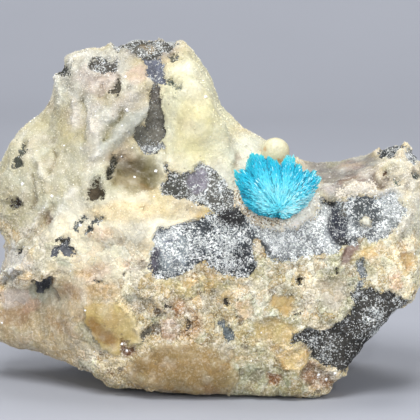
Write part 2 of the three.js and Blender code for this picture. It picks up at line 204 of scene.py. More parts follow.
# Where bare basalt shows through the crust on the show face: its outlines to the right and up
# of AIM, then the colour of the stone and the share of pale crystals dusted on it.
BASALT = {
    "summit_high": ([(-12.6, 25.6), (-7.4, 25.6), (-6.8, 22.4), (-7.0, 20.8), (-8.8, 20.6),
                     (-10.2, 21.2), (-11.0, 22.2), (-12.4, 22.4)], "#444138", 0.33),
    "summit_knob": ([(-13.6, 23.0), (-13.0, 24.4), (-12.2, 24.2), (-12.2, 22.6), (-13.0, 22.0)],
                    "#55514A", 0.35),
    "summit_end": ([(-7.0, 25.6), (-4.7, 25.4), (-4.5, 22.5), (-5.6, 21.9), (-6.9, 22.3)],
                   "#46433C", 0.36),
    "summit_end_low": ([(-5.8, 22.2), (-4.4, 22.0), (-4.5, 20.9), (-5.5, 20.9)], "#5F5E50", 0.2),
    "vein_head": ([(-9.6, 21.4), (-7.0, 21.5), (-6.6, 19.2), (-6.0, 17.9), (-7.4, 17.6),
                   (-8.7, 18.0), (-9.4, 19.5)], "#686C7A", 0.2),
    "vein_neck": ([(-8.5, 18.6), (-6.9, 18.4), (-7.1, 16.5), (-7.3, 14.6), (-8.2, 14.6),
                   (-8.0, 16.5)], "#5E5952", 0.1),
    "summit_left": ([(-16.9, 20.6), (-15.7, 21.4), (-14.0, 21.2), (-13.2, 20.6), (-13.7, 19.6),
                     (-15.3, 19.3), (-16.8, 19.7)], "#544F46", 0.38),
    "vein": ([(-9.0, 15.1), (-7.2, 15.3), (-6.5, 12.9), (-6.7, 10.5), (-7.5, 8.6), (-9.0, 8.6),
              (-8.7, 10.5), (-9.0, 12.9)], "#625F56", 0.1),
    "vein_smudge": ([(-10.7, 11.6), (-9.6, 12.3), (-8.4, 12.2), (-8.0, 10.0), (-8.6, 8.8),
                     (-9.6, 9.0), (-10.5, 9.8)], "#706E64", 0.08),
    "vein_lump": ([(-10.0, 9.4), (-8.2, 9.8), (-6.6, 9.2), (-6.3, 8.2), (-7.6, 7.8), (-9.4, 8.0)],
                  "#7A7C7E", 0.5),
    "skyline_speck": ([(-21.6, 20.2), (-20.8, 21.0), (-19.6, 20.4), (-19.4, 19.0), (-20.2, 18.5),
                       (-21.4, 18.9)], "#3A3B33", 0.05),
    "short_vein": ([(-13.5, 17.6), (-13.1, 18.3), (-12.8, 17.4), (-13.0, 16.2), (-13.5, 16.4)],
                   "#544E40", 0.03),
    "slope_fleck": ([(-27.2, 6.6), (-26.4, 9.2), (-25.7, 9.5), (-25.7, 7.8), (-26.3, 5.8),
                     (-27.1, 5.8)], "#4A4D42", 0.04),
    "pit_under_ridge": ([(-16.4, 4.2), (-15.9, 4.1), (-15.6, 3.0), (-14.8, 2.3), (-14.9, 1.5),
                         (-15.7, 1.7), (-16.2, 1.2), (-16.9, 1.7), (-16.6, 3.0)], "#4A3F2C", 0.0),
    "pit_high_left": ([(-28.1, 1.5), (-27.0, 1.8), (-26.5, 1.0), (-26.9, 0.0), (-28.0, -0.3),
                       (-28.4, 0.6)], "#55453B", 0.2),
    "left_end_edge": ([(-31.0, -2.1), (-29.1, -2.3), (-28.9, -4.2), (-31.0, -4.5)], "#3C3A36", 0.2),
    # Bare grey stone, darker partly as painted shade in the hole under the lip.
    "hole_in_left_face": ([(-24.6, -10.0), (-23.6, -9.3), (-22.5, -9.4), (-22.2, -10.4),
                           (-22.7, -11.3), (-23.2, -12.1), (-23.8, -11.3), (-24.0, -10.6)],
                          "#56585C", 0.05),
    "green_speck_high": ([(-5.9, 18.5), (-5.0, 18.6), (-4.8, 17.8), (-5.6, 17.5)], "#6F7A6C", 0.2),
    "green_speck_low": ([(-5.2, 17.4), (-4.3, 17.6), (-4.1, 16.8), (-4.8, 16.4)], "#6F7A6C", 0.2),
    "chain_high": ([(-16.5, -1.5), (-16.1, -0.7), (-15.1, -0.7), (-14.6, -1.1), (-15.5, -1.4),
                    (-16.1, -1.7)], "#5C625F", 0.25),
    "chain_middle": ([(-17.8, -1.3), (-17.2, -0.7), (-16.7, -1.1), (-17.2, -1.5)], "#5C625F", 0.25),
    "chain_low": ([(-19.3, -2.9), (-18.8, -2.1), (-17.6, -1.7), (-17.8, -2.2), (-18.8, -3.1)],
                  "#5C625F", 0.25),
    "chain_end": ([(-17.2, -3.2), (-16.9, -2.2), (-16.5, -2.2), (-16.7, -3.2)], "#5C625F", 0.25),
    "dark_patch": ([(-21.4, -3.6), (-20.6, -3.4), (-19.6, -4.0), (-19.4, -4.7), (-18.8, -5.3),
                    (-18.8, -6.1), (-19.7, -6.4), (-20.3, -6.4), (-20.7, -5.8), (-21.3, -5.8),
                    (-21.6, -6.6), (-22.1, -6.4), (-22.2, -5.5), (-21.2, -5.2), (-20.6, -4.7),
                    (-21.1, -4.1)], "#5C5E63", 0.12),
    "spot_left": ([(-26.7, -6.3), (-26.5, -5.5), (-25.9, -5.7), (-26.2, -6.3)], "#4A4D4E", 0.08),
    "spot_middle": ([(-16.1, -9.9), (-15.8, -9.4), (-15.0, -9.5), (-15.1, -10.2),
                     (-15.8, -10.2)], "#6A6C68", 0.05),
    "upper_centre": ([(-6.4, 6.0), (-5.6, 5.6), (-4.6, 5.2), (-3.4, 5.2), (-2.4, 5.7),
                      (-1.4, 6.0), (0.0, 5.6), (1.3, 4.9), (2.2, 4.1), (3.1, 2.8), (3.6, 1.4),
                      (4.2, -0.3), (2.5, -1.0), (0.6, -0.6), (-0.6, -0.1), (-1.4, 0.4),
                      (-2.5, 1.3), (-3.8, 1.5), (-5.3, 1.8), (-6.7, 2.7), (-7.0, 3.5),
                      (-6.3, 4.5)], "#57564F", 0.42),
    "neck_to_main": ([(0.8, 0.8), (4.4, 0.8), (5.2, -1.8), (0.6, -1.6)], "#46474A", 0.3),
    "main": ([(-7.7, -2.7), (-6.3, -2.4), (-4.8, -2.2), (-3.4, -1.7), (-2.2, -1.3),
              (-1.0, -1.0), (0.0, -0.4), (1.7, -0.8), (3.9, -0.6), (4.9, -1.3), (6.6, -1.5),
              (7.6, -2.2), (7.3, -3.9), (6.4, -5.0), (6.2, -6.2), (6.6, -7.3), (6.4, -8.4),
              (5.6, -9.1), (4.8, -9.5), (3.5, -9.7), (2.2, -9.7), (1.1, -9.4), (0.1, -8.4),
              (-0.7, -7.6), (-1.8, -8.3), (-3.1, -8.8), (-4.8, -9.1), (-6.3, -9.4),
              (-8.0, -9.4), (-8.7, -8.1), (-8.3, -6.0), (-7.8, -4.6)], "#3D4348", 0.55),
    "band": ([(4.2, -0.6), (5.6, -1.0), (7.3, -1.5), (9.0, -2.0), (10.6, -2.0), (12.2, -1.5),
              (13.3, -0.6), (14.1, 0.1), (15.0, 1.3), (16.2, 1.7), (17.5, 1.5), (18.9, 1.5),
              (19.6, 2.0), (21.0, 1.8), (22.7, 1.8), (24.4, 2.2), (26.0, 2.2), (26.9, 1.4),
              (27.0, -0.3), (26.6, -1.7), (25.5, -3.2), (24.2, -4.1), (22.8, -4.3),
              (21.3, -3.9), (20.3, -4.8), (18.9, -5.0), (17.9, -5.5), (16.5, -5.9),
              (15.1, -6.3), (13.4, -6.6), (12.0, -6.9), (9.8, -7.0), (8.3, -6.6), (7.3, -5.5),
              (6.7, -4.5), (5.6, -2.8)], "#7A7F82", 0.85),
    "slot": ([(20.6, -7.4), (21.2, -7.0), (21.8, -8.1), (21.7, -9.6), (20.9, -10.6),
              (20.4, -9.2)], "#747B7E", 0.3),
    "hole_middle": ([(12.4, -9.4), (13.1, -9.5), (12.9, -10.0), (12.6, -10.3), (12.4, -9.9)],
                    "#4A4540", 0.0),
    "hole_under_window": ([(11.8, -14.3), (12.6, -14.5), (12.5, -15.2), (11.9, -15.0)],
                          "#3C3834", 0.0),
    "hole_in_lower_front": ([(-6.3, -12.9), (-5.5, -13.0), (-5.4, -13.8), (-6.1, -13.7)],
                            "#4A433B", 0.0),
    "hole_low_front": ([(-3.6, -15.8), (-2.9, -15.9), (-2.8, -16.6), (-3.5, -16.4)],
                       "#443C35", 0.0),
    "hole_grey_front": ([(-9.7, -16.4), (-8.5, -16.2), (-8.5, -17.4), (-9.5, -17.7)], "#716D60",
                        0.0),
    "hole_right": ([(17.3, -8.2), (17.9, -8.3), (17.8, -8.8), (17.4, -8.8)], "#4A433C", 0.0),
    "hole_under_main": ([(2.1, -12.3), (2.6, -12.2), (2.5, -12.8), (2.2, -13.0)], "#48423B", 0.0),
    "hole_left_middle": ([(-12.3, -8.6), (-11.7, -8.5), (-11.7, -9.2), (-12.3, -9.2)], "#4A443C",
                         0.0),
    "lower_right": ([(20.0, -11.6), (21.0, -11.2), (22.1, -11.2), (23.8, -11.3), (25.3, -11.5),
                     (26.5, -12.2), (27.9, -12.6), (31.0, -13.0), (29.4, -14.8), (27.2, -17.0),
                     (25.6, -18.6), (24.2, -20.2), (22.8, -21.8), (21.3, -23.4), (19.9, -24.2),
                     (19.2, -22.8), (18.1, -22.1), (16.7, -21.7), (15.1, -21.3), (14.0, -20.7),
                     (14.3, -19.9), (13.7, -18.8), (12.5, -18.6), (11.2, -18.6), (11.5, -17.9),
                     (12.7, -17.4), (14.1, -16.7), (15.7, -16.9), (16.8, -16.5), (18.2, -15.4),
                     (19.5, -14.3), (20.3, -13.0)], "#3A3731", 0.26),
    "low_speck": ([(1.2, -15.5), (2.4, -15.5), (3.7, -16.8), (3.3, -18.6), (2.7, -19.8),
                   (2.4, -18.2), (1.2, -16.2)], "#6A7375", 0.2),
    "shoulder": ([(23.8, 7.6), (23.9, 9.5), (24.4, 12.0), (27.4, 12.5), (27.2, 9.0), (26.2, 7.8),
                  (24.9, 7.2)], "#2E3032", 0.25),
    "shoulder_end": ([(27.3, 7.6), (27.9, 8.5), (29.1, 8.4), (30.0, 7.4), (29.5, 6.4),
                      (28.1, 6.3)], "#44474A", 0.5),
    "shoulder_speck": ([(25.5, 4.3), (26.4, 4.4), (26.6, 3.7), (25.9, 3.3)], "#5E6A5C", 0.35),
    "shoulder_fleck": ([(24.3, 5.2), (24.8, 5.3), (24.9, 4.6), (24.4, 4.5)], "#7A5F48", 0.1),
    "far_right_speck": ([(28.2, 5.3), (29.2, 5.4), (29.4, 4.6), (28.6, 4.4)], "#5A5F55", 0.35),
    "streak_in_hollow": ([(-13.4, 7.6), (-12.4, 7.4), (-12.9, 6.2), (-13.5, 5.1), (-14.2, 4.3),
                          (-14.3, 5.2), (-13.8, 6.4)], "#4A4838", 0.04),
    "foot_chip": ([(13.3, -26.5), (14.3, -26.3), (15.4, -26.7), (15.1, -27.4), (14.0, -27.2)],
                  "#26282A", 0.0),
}


def oval(at, half, lean, colour, strength, **more):
    """A soft oval on the show face: its middle and half-sizes in mm, its lean in degrees, and its
    colour with how strong it is."""
    return {"at": at, "half": half, "lean": math.radians(lean), "colour": linear(colour),
            "strength": strength, **more}


def stone_spot(at, half, lean, colour, dust):
    """An oval where bare stone takes this colour and dust; some, marked below, are painted shade.
    """
    return oval(at, half, lean, colour, 1.0, dust=dust)


STONE_SPOTS = {
    # gully, gully_foot, gully_top: painted shade in the gully's crack, which is also cut as a
    # groove.
    "gully": stone_spot((17.4, -1.6), (1.4, 3.5), 22, "#2C2F3A", 0.14),
    "gully_foot": stone_spot((18.6, -4.4), (1.1, 0.8), -30, "#2E2E30", 0.12),
    "gully_top": stone_spot((16.6, 1.4), (1.0, 0.5), 0, "#232324", 0.1),
    "olive_glass": stone_spot((18.5, 0.3), (0.5, 1.2), 20, "#5C5748", 0.2),
    "slot_in_band": stone_spot((7.6, -5.1), (1.4, 0.5), -40, "#25282C", 0.08),
    "band_pale": stone_spot((12.6, -4.4), (4.6, 2.1), 0, "#9CA0A2", 0.9),
    "band_pale_high": stone_spot((14.4, -0.4), (2.4, 2.2), -20, "#A6A9A6", 0.95),
    "band_right_dark": stone_spot((22.0, -0.2), (2.8, 2.4), 0, "#4C5254", 0.5),
    "blue_dust": stone_spot((24.6, 1.6), (1.7, 0.7), 0, "#AEBAC4", 0.9),
    "band_right_edge": stone_spot((25.6, -0.4), (1.8, 2.6), 0, "#979D9B", 0.85),
    "main_pale_left": stone_spot((-5.4, -5.6), (2.5, 3.0), 0, "#8F999D", 0.75),
    "main_smudge": stone_spot((-5.8, -4.2), (0.9, 0.4), 20, "#6B7079", 0.3),
    "main_smudge_low": stone_spot((-4.4, -7.8), (1.0, 0.5), -20, "#757B80", 0.4),
    "main_edge_left": stone_spot((-8.0, -7.0), (0.7, 2.4), -18, "#55525B", 0.2),
    "main_lobe": stone_spot((3.4, -7.4), (2.8, 2.2), 0, "#33363A", 0.5),
    "main_shadow": stone_spot((5.9, -8.6), (0.9, 1.0), -30, "#131416", 0.1),
    # Painted shadow under the fan, on the dark stone there.
    "painted_shadow_under_fan": stone_spot((2.7, -1.2), (2.0, 1.4), 0, "#1C1B1C", 0.12),
    "ochre_summit": stone_spot((-9.0, 22.9), (1.1, 0.6), -20, "#84755A", 0.15),
    "dark_patch_top": stone_spot((-20.9, -4.0), (0.7, 0.5), 0, "#3A3628", 0.03),
    "mauve_plate": stone_spot((-1.8, 4.1), (1.6, 1.7), 0, "#85808A", 0.3),
    "olive_dark_left": stone_spot((-5.2, 3.6), (1.4, 1.9), 0, "#3A3A33", 0.3),
    # A near-black hole: painted shade.
    "hole_in_plate": stone_spot((-1.3, 0.5), (0.5, 0.5), 0, "#121212", 0.0),
    # Painted shade along the bottom of the lower right patch.
    "low_right_dark": stone_spot((20.8, -19.6), (2.6, 2.4), -40, "#23211C", 0.12),
    "low_right_pale": stone_spot((22.6, -15.2), (1.6, 1.3), 0, "#4B4942", 0.6),
    "low_right_left": stone_spot((14.3, -18.4), (1.9, 1.1), 0, "#2D2B26", 0.35),
    "low_right_top": stone_spot((21.6, -12.2), (2.0, 0.8), 0, "#3E3C36", 0.52),
}


def stain(at, half, lean, colour, strength, calm, frost):
    """An oval in which the crust has its own colour. calm, from 0 to 1, is how smooth the crust
    is there, and frost how white the grains on it are."""
    return oval(at, half, lean, colour, strength, calm=calm, frost=frost)


STAINS = {
    "left_slope": stain((-21.0, 4.9), (10.5, 10.5), 40, "#C4C0A5", 0.9, 0.4, 0.5),
    "peak_crust": stain((-16.1, 17.1), (6.7, 6.4), 0, "#C3C2B8", 0.9, 0.15, 0.6),
    "front_cream": stain((-12.6, -4.9), (11.9, 6.3), 0, "#FFF8DE", 0.9, 0.85, 0.35),
    # Darker partly as painted shade: the lower front turns from the light towards the bottom.
    "lower_left": stain((-21.7, -15.7), (11.2, 5.9), 20, "#BDAA86", 0.9, 0.8, 0.15),
    "lower_front": stain((-4.2, -14.3), (9.8, 6.7), 0, "#D0C2A0", 0.8, 0.2, 0.3),
    "lower_middle": stain((7.3, -18.9), (9.1, 7.0), 0, "#BFBB98", 0.8, 0.3, 0.2),
    "right_front": stain((16.8, -11.2), (10.5, 6.7), 0, "#C8C7AC", 0.85, 0.2, 0.35),
    "right_end": stain((27.3, -4.9), (4.2, 7.7), 0, "#F2ECD0", 0.85, 0.3, 0.25),
    "ledge_saddle": stain((4.6, 5.9), (6.7, 4.5), 20, "#E2E4D2", 0.95, 0.7, 0.3),
    "lemon_lump": stain((-2.1, 13.7), (6.2, 9.2), -10, "#E4E1C0", 0.95, 0.75, 0.15),
    "lemon_heart": stain((-2.0, 11.5), (2.8, 5.0), -5, "#E4D99E", 0.6, 0.85, 0.05),
    "bead": stain((9.1, 8.3), (2.2, 2.2), 0, "#E6E0BC", 1, 1, 0.1),
    "ridge_behind": stain((19.6, 5.6), (6.9, 2.6), 0, "#878380", 0.95, 0.6, 0.1),
    "ridge_green": stain((17.6, 6.4), (1.5, 0.7), 0, "#A6A48E", 0.7, 0.6, 0.1),
    "ridge_pink": stain((19.8, 6.0), (1.7, 0.8), 10, "#AB958C", 0.7, 0.5, 0.1),
    "ridge_pale_lump": stain((21.9, 4.9), (1.4, 0.7), 10, "#C6BEB4", 0.8, 0.5, 0.2),
    "ridge_brown": stain((23.4, 5.0), (0.8, 1.3), -10, "#8A6C5C", 0.7, 0.4, 0.1),
    "sugar_right": stain((27.6, -0.2), (2.2, 4.4), 0, "#F2F2E2", 0.8, 0.0, 0.8),
    "shoulder_cream": stain((26.3, 5.3), (3.1, 3.6), 0, "#DDD3BA", 0.9, 0.0, 0.65),
    "ledge_grey": stain((22.4, 2.6), (1.4, 0.6), 0, "#B9BABC", 0.7, 0.0, 0.6),
    "ledge_grey_left": stain((17.2, 2.7), (2.1, 0.9), 0, "#9C9896", 0.95, 0.0, 0.3),
    "ledge_white": stain((20.4, 2.8), (1.3, 0.7), 0, "#F2EEE2", 0.8, 0.0, 0.8),
    # Darker partly as painted shade: the foot turns from the light.
    "tan_foot": stain((-3.5, -22.3), (8.1, 3.4), 5, "#947A48", 1.0, 0.8, 0.05),
    "green_foot": stain((7.3, -24.1), (6.4, 2.7), 0, "#979270", 0.9, 0.5, 0.2),
    "cream_ledge": stain((-11.2, -0.3), (6.2, 1.4), 0, "#E2C88F", 0.6, 0.2, 0.35),
    # The olive hollow and its heart: dark olive, made darker still as painted shade in the hollow.
    "olive_hollow": stain((-10.3, 5.4), (3.2, 2.9), 0, "#655B2E", 1.0, 0.9, 0.05),
    "olive_brown_heart": stain((-10.6, 6.3), (1.7, 1.2), 30, "#584D33", 0.8, 0.95, 0.0),
    "brown_over_hollow": stain((-13.4, 7.6), (1.7, 1.0), 0, "#93806A", 0.75, 0.8, 0.0),
    "tan_under_hollow": stain((-11.6, 3.8), (2.4, 1.0), -10, "#9C8E66", 0.8, 0.8, 0.1),
    "brown_in_hollow": stain((-8.9, 3.3), (0.9, 0.6), 0, "#9F8150", 0.6, 0.8, 0.0),
    "tan_over_hollow": stain((-13.0, 8.0), (2.6, 1.0), -10, "#B5A285", 0.7, 0.6, 0.2),
    "shade_beside_vein": stain((-10.3, 12.6), (0.9, 2.6), -25, "#9D9C90", 0.7, 0.6, 0.1),
    "olive_slope": stain((-20.2, 13.2), (1.8, 3.9), 15, "#C4BA90", 0.6, 0.3, 0.2),
    "olive_peak": stain((-14.3, 15.8), (2.5, 1.4), 0, "#BAAB7C", 0.5, 0.3, 0.2),
    "glassy_ridge": stain((-12.9, 10.6), (1.5, 4.8), -45, "#AEB2A8", 0.7, 0.6, 0.3),
    "pink_peak": stain((-15.7, 18.2), (3.4, 2.0), 0, "#D8C6BC", 0.6, 0.1, 0.6),
    "pink_neck": stain((-10.5, 18.8), (1.4, 1.3), 0, "#D2B5A2", 0.7, 0.5, 0.2),
    "grey_summit": stain((-9.0, 22.8), (4.6, 1.9), 0, "#908F8D", 0.8, 0.0, 0.5),
    "grey_far_left": stain((-24.6, -5.2), (2.6, 3.6), 0, "#CCC7B8", 0.65, 0.5, 0.4),
    "grey_beside_main": stain((-10.8, -4.4), (2.0, 3.6), 0, "#D0CCBC", 0.6, 0.5, 0.3),
    "brown_left": stain((-16.7, -16.1), (1.0, 1.7), 10, "#8D683B", 0.8, 0.7, 0),
    "rust_low_left": stain((-11.4, -19.5), (1.1, 1.1), 0, "#6B4028", 0.9, 0.3, 0),
    "rust_low_right": stain((0.0, -24.8), (1.1, 0.8), 0, "#7A4224", 0.9, 0.3, 0),
    "rust_middle": stain((-4.5, -15.4), (3.4, 2.5), 0, "#A06D44", 0.55, 0.1, 0.2),
    "orange_right": stain((9.4, -17.1), (3.4, 1.8), 0, "#C3AB6E", 0.8, 0.6, 0.1),
    "brown_glass": stain((15.1, -23.2), (2.6, 1.9), -15, "#8C6B4E", 0.95, 0.4, 0.3),
    "peach_front": stain((-15.3, -3.1), (1.7, 1.1), 0, "#E3BE9E", 0.5, 0.2, 0.3),
    "peach_low": stain((-10.2, -7.3), (1.7, 1.3), 0, "#E4C0A4", 0.5, 0.2, 0.3),
    "yellow_wedge": stain((-1.0, -0.6), (1.8, 0.8), -15, "#DDC17A", 0.8, 0.3, 0.2),
    "brown_groove": stain((-22.5, -1.1), (0.7, 1.0), 35, "#80624A", 0.7, 0.3, 0.1),
    "bead_orange": stain((7.7, 8.3), (0.4, 0.4), 0, "#DDA765", 0.7, 1, 0),
    "bead_orange_low": stain((9.8, 6.9), (0.4, 0.4), 0, "#DB9F5E", 0.7, 1, 0),
    "blue_dust": stain((24.9, 2.1), (1.8, 1.1), 0, "#B7BFC8", 0.6, 0.1, 0.6),
    "brown_left_end": stain((-27.6, -14.8), (2.6, 1.5), 0, "#A58562", 0.7, 0.85, 0.1),
    "amber_thread": stain((-14.8, -11.2), (3.1, 1.0), 0, "#C9A467", 0.45, 0.7, 0.1),
    "white_far_left": stain((-27.6, -7.4), (2.8, 3.0), 0, "#DAD8D2", 0.85, 0.6, 0.5),
    "pale_under_lip": stain((-27.4, -12.2), (2.4, 1.3), 10, "#CFC0B6", 0.8, 0.8, 0.2),
    "pink_lower_left": stain((-25.0, -13.3), (1.5, 1.0), 30, "#CFA88E", 0.6, 0.8, 0.1),
    "green_lobe": stain((-22.5, -12.0), (1.2, 1.7), 0, "#AEB09C", 0.95, 0.85, 0.05),
    "green_lobe_left": stain((-24.6, -11.4), (0.9, 1.1), 0, "#9DA08F", 0.9, 0.85, 0.05),
    "brown_beside_lobe": stain((-19.4, -12.0), (1.8, 1.6), -30, "#A88663", 0.6, 0.8, 0.1),
    "green_under_patch": stain((-20.4, -7.0), (1.0, 0.6), 0, "#BFC4AA", 0.6, 0.7, 0.1),
    "cream_lower_left": stain((-20.2, -13.2), (2.6, 1.2), -20, "#D9CCAE", 0.65, 0.8, 0.2),
    "green_lower_left": stain((-16.9, -17.6), (2.6, 1.2), -35, "#BDBC9B", 0.6, 0.7, 0.2),
    "tan_lower_left": stain((-20.4, -16.6), (2.8, 0.9), -30, "#A88A62", 0.6, 0.8, 0.1),
    "grey_specks_left": stain((-14.6, -4.8), (0.9, 0.7), 0, "#A9A899", 0.6, 0.4, 0.2),
    "pink_above_lip": stain((-16.0, -8.6), (2.4, 1.2), 20, "#E3C8B2", 0.6, 0.7, 0.2),
    "ochre_above_lip": stain((-17.6, -8.9), (1.2, 0.8), 0, "#C9AD74", 0.6, 0.6, 0.1),
    "shade_under_fan": stain((6.6, -0.6), (1.2, 0.6), 20, "#C9AC90", 0.5, 0.1, 0.4),
    "brown_under_ridge": stain((19.9, 3.8), (2.0, 1.0), 10, "#7E5F50", 0.7, 0.3, 0.1),
}


def mark(line, width, height, colour, strength):
    """A ridge, or with a negative height a groove or hole, along a line on the show face."""
    return {"line": line if len(line) > 1 else line * 2, "width": width, "height": height,
            "colour": linear(colour), "strength": strength}


MARKS = {
    # Hole under the lip: cut, and partly painted shade; beside it, a painted brown shade.
    "hole_in_left_face": mark([(-24.1, -10.2), (-23.0, -10.1), (-23.3, -11.3)], 0.6, -0.7,
                              "#5A5346", 0.45),
    "brown_shade_beside_hole": mark([(-22.2, -9.9), (-21.7, -11.0), (-21.3, -12.5)], 0.3, -0.35,
                        "#6A5238", 0.85),
    # The lip's white is partly a painted highlight, where light skims its raised edge.
    "white_lip": mark([(-30.0, -10.6), (-28.6, -9.5), (-27.4, -8.6), (-26.6, -8.2)], 0.35, 0.7,
                      "#FAF8F4", 0.95),
    "shade_under_lip": mark([(-28.8, -10.3), (-27.6, -9.4), (-26.4, -9.0)], 0.4, -0.5,
                            "#6C6E66", 0.75),
    "lip_over_hole": mark([(-26.8, -9.9), (-25.0, -9.3), (-22.9, -8.7)], 0.35, 0.45,
                          "#D9CCB4", 0.6),
    "left_groove": mark([(-26.3, -5.6), (-24.5, -3.1), (-23.1, -0.7), (-21.7, 0.7)], 0.36, -0.5,
                        "#A8946E", 0.6),
    "left_groove_lip": mark([(-26.9, -5.5), (-24.9, -2.5), (-23.5, -0.3), (-22.3, 1.1)], 0.21,
                            0.35, "#F0ECE4", 0.6),
    "crust_edge": mark([(-12.6, -12.5), (-11.6, -13.7), (-10.7, -15.1), (-9.8, -17.3),
                        (-10.1, -18.3), (-11.1, -18.8)], 0.4, 0.4, "#EBDDAE", 0.9),
    "pit_high_left": mark([(-28.0, 0.8), (-27.0, 0.6)], 0.64, -0.8, "#3A2C22", 0.4),
    "pit_under_ridge": mark([(-16.1, 3.6), (-16.0, 2.5), (-16.2, 1.8)], 0.8, -1.1, "#3D301E",
                            0.5),
    # Cut as a groove, and darkened as painted shade too.
    "olive_hollow": mark([(-12.0, 6.6), (-10.2, 5.3), (-8.8, 4.4)], 1.4, -1.1, "#5F5330", 0.35),
    "vein_valley": mark([(-7.6, 16.5), (-7.8, 13.0), (-8.8, 9.6)], 1.2, -0.8, "#5F5330", 0.0),
    "gully": mark([(17.0, 1.2), (17.9, -1.6), (18.9, -4.6)], 1.0, -1.0, "#101010", 0.0),
    "shade_left_of_fan": mark([(3.9, 7.6), (3.6, 6.2)], 0.5, -0.35, "#A88F7C", 0.6),
    "dark_streak": mark([(-13.1, 7.1), (-13.6, 5.7), (-14.2, 4.6)], 0.42, -0.5, "#47452F", 0.95),
    "glassy_ridge": mark([(-16.0, 7.4), (-13.7, 9.8), (-11.2, 11.9), (-9.0, 14.3)], 1.15, 0.8,
                         "#D8DAD2", 0.35),
    "ridge_above": mark([(-17.2, 9.2), (-15.4, 11.9), (-13.3, 14.3), (-10.6, 16.8)], 0.95, 0.8,
                        "#DDD3C8", 0.4),
    "valley_between": mark([(-14.8, 10.1), (-13.7, 11.9), (-12.3, 13.7)], 0.42, -0.7, "#9B905C",
                           0.7),
    "olive_valley": mark([(-18.6, 14.7), (-18.2, 12.3), (-17.6, 9.5)], 0.6, -0.45, "#B3A672", 0.6),
    "frost_column": mark([(-18.9, 15.6), (-18.6, 13.8), (-18.7, 12.2)], 0.5, 0.7, "#F8F5EE", 0.8),
    "frost_edge": mark([(-21.2, 19.0), (-20.6, 16.8), (-20.8, 14.6)], 0.35, 0.4, "#F2F0E6", 0.6),
    "groove_by_column": mark([(-18.0, 15.4), (-17.6, 13.6), (-17.8, 12.0)], 0.35, -0.5, "#A59A70",
                             0.6),
    "pits_on_peak": mark([(-13.0, 19.0), (-12.6, 17.6), (-12.9, 16.6)], 0.25, -0.4, "#8E8072",
                         0.7),
    "pits_beside_short_vein": mark([(-14.8, 17.4), (-15.4, 16.2)], 0.25, -0.35, "#9A8C7E", 0.6),
    "rib_on_slope": mark([(-24.4, 7.6), (-23.0, 5.2), (-22.6, 2.8)], 0.4, 0.4, "#EAE6D8", 0.4),
    "pits_in_row": mark([(-24.9, 2.6), (-24.4, 1.2), (-24.6, 0.2)], 0.3, -0.45, "#7E7458", 0.7),
    "pit_low_on_slope": mark([(-22.8, -0.4), (-22.4, -1.2)], 0.3, -0.5, "#6B5540", 0.7),
    "frost_column_low": mark([(-16.2, 12.0), (-15.9, 9.6), (-15.9, 7.2)], 0.4, 0.4, "#F1EDE4",
                             0.5),
    "frost_rib": mark([(-19.4, 3.0), (-20.6, 0.4), (-21.8, -2.4)], 0.5, 0.4, "#F2EEE4", 0.5),
    "pit_line_high": mark([(-22.0, 8.2), (-21.9, 6.9), (-22.3, 5.6)], 0.22, -0.35, "#8A7D58",
                          0.6),
    "pit_line_on_slope": mark([(-25.1, 4.9), (-24.8, 3.9), (-24.6, 3.1)], 0.25, -0.35, "#8A7D58",
                              0.7),
    "white_right_of_fan": mark([(9.6, -2.0), (11.8, -1.6), (13.6, 0.0), (14.5, 1.2)], 0.9, 0.3,
                               "#FFFFFC", 1.0),
    "tan_left_of_fan": mark([(5.0, -0.4), (6.8, -1.5)], 0.5, -0.25, "#B9A688", 0.7),
    "white_under_root": mark([(8.4, -2.3), (9.8, -2.5)], 0.5, 0.2, "#FFFDF4", 0.9),
    "ledge_pits": mark([(18.5, 2.3), (19.3, 2.1)], 0.3, -0.4, "#5E5048", 0.8),
    "ledge_cleft": mark([(22.4, 4.1), (23.7, 3.5), (24.8, 3.9)], 0.35, -0.45, "#5E4A42", 0.85),
    "ledge_knob_left": mark([(16.5, 2.6)], 0.5, 0.4, "#E8E2DA", 0.4),
    "shoulder_grain": mark([(25.2, 5.4)], 0.5, 0.5, "#DFDFCE", 0.8),
    "lump_on_ridge": mark([(21.2, 4.6), (22.4, 5.0)], 0.5, 0.4, "#CFC7BC", 0.4),
    "brow_of_ridge": mark([(17.4, 5.6), (20.0, 5.6)], 0.5, 0.35, "#B5A79C", 0.3),
    "ledge_knob_right": mark([(20.5, 3.0), (21.4, 2.8)], 0.5, 0.45, "#F7F2E6", 0.6),
    "brown_step": mark([(14.3, -19.9), (13.7, -18.9), (12.6, -18.8)], 0.31, -0.3, "#8B5E45", 0.6),
}


def plate(outline, rise, edge, colour, strength, calm, cover=None):
    """A lump of crust with a broken edge on the show face, which stands above the rest by rise, or
    below it, and has its own colour. edge is how wide its side is, in mm. One with a cover lies
    on bare basalt too: with a small cover, in mm, stone shows between its grains."""
    return {"outline": outline, "rise": rise, "edge": edge, "colour": linear(colour),
            "strength": strength, "calm": calm, "cover": cover}


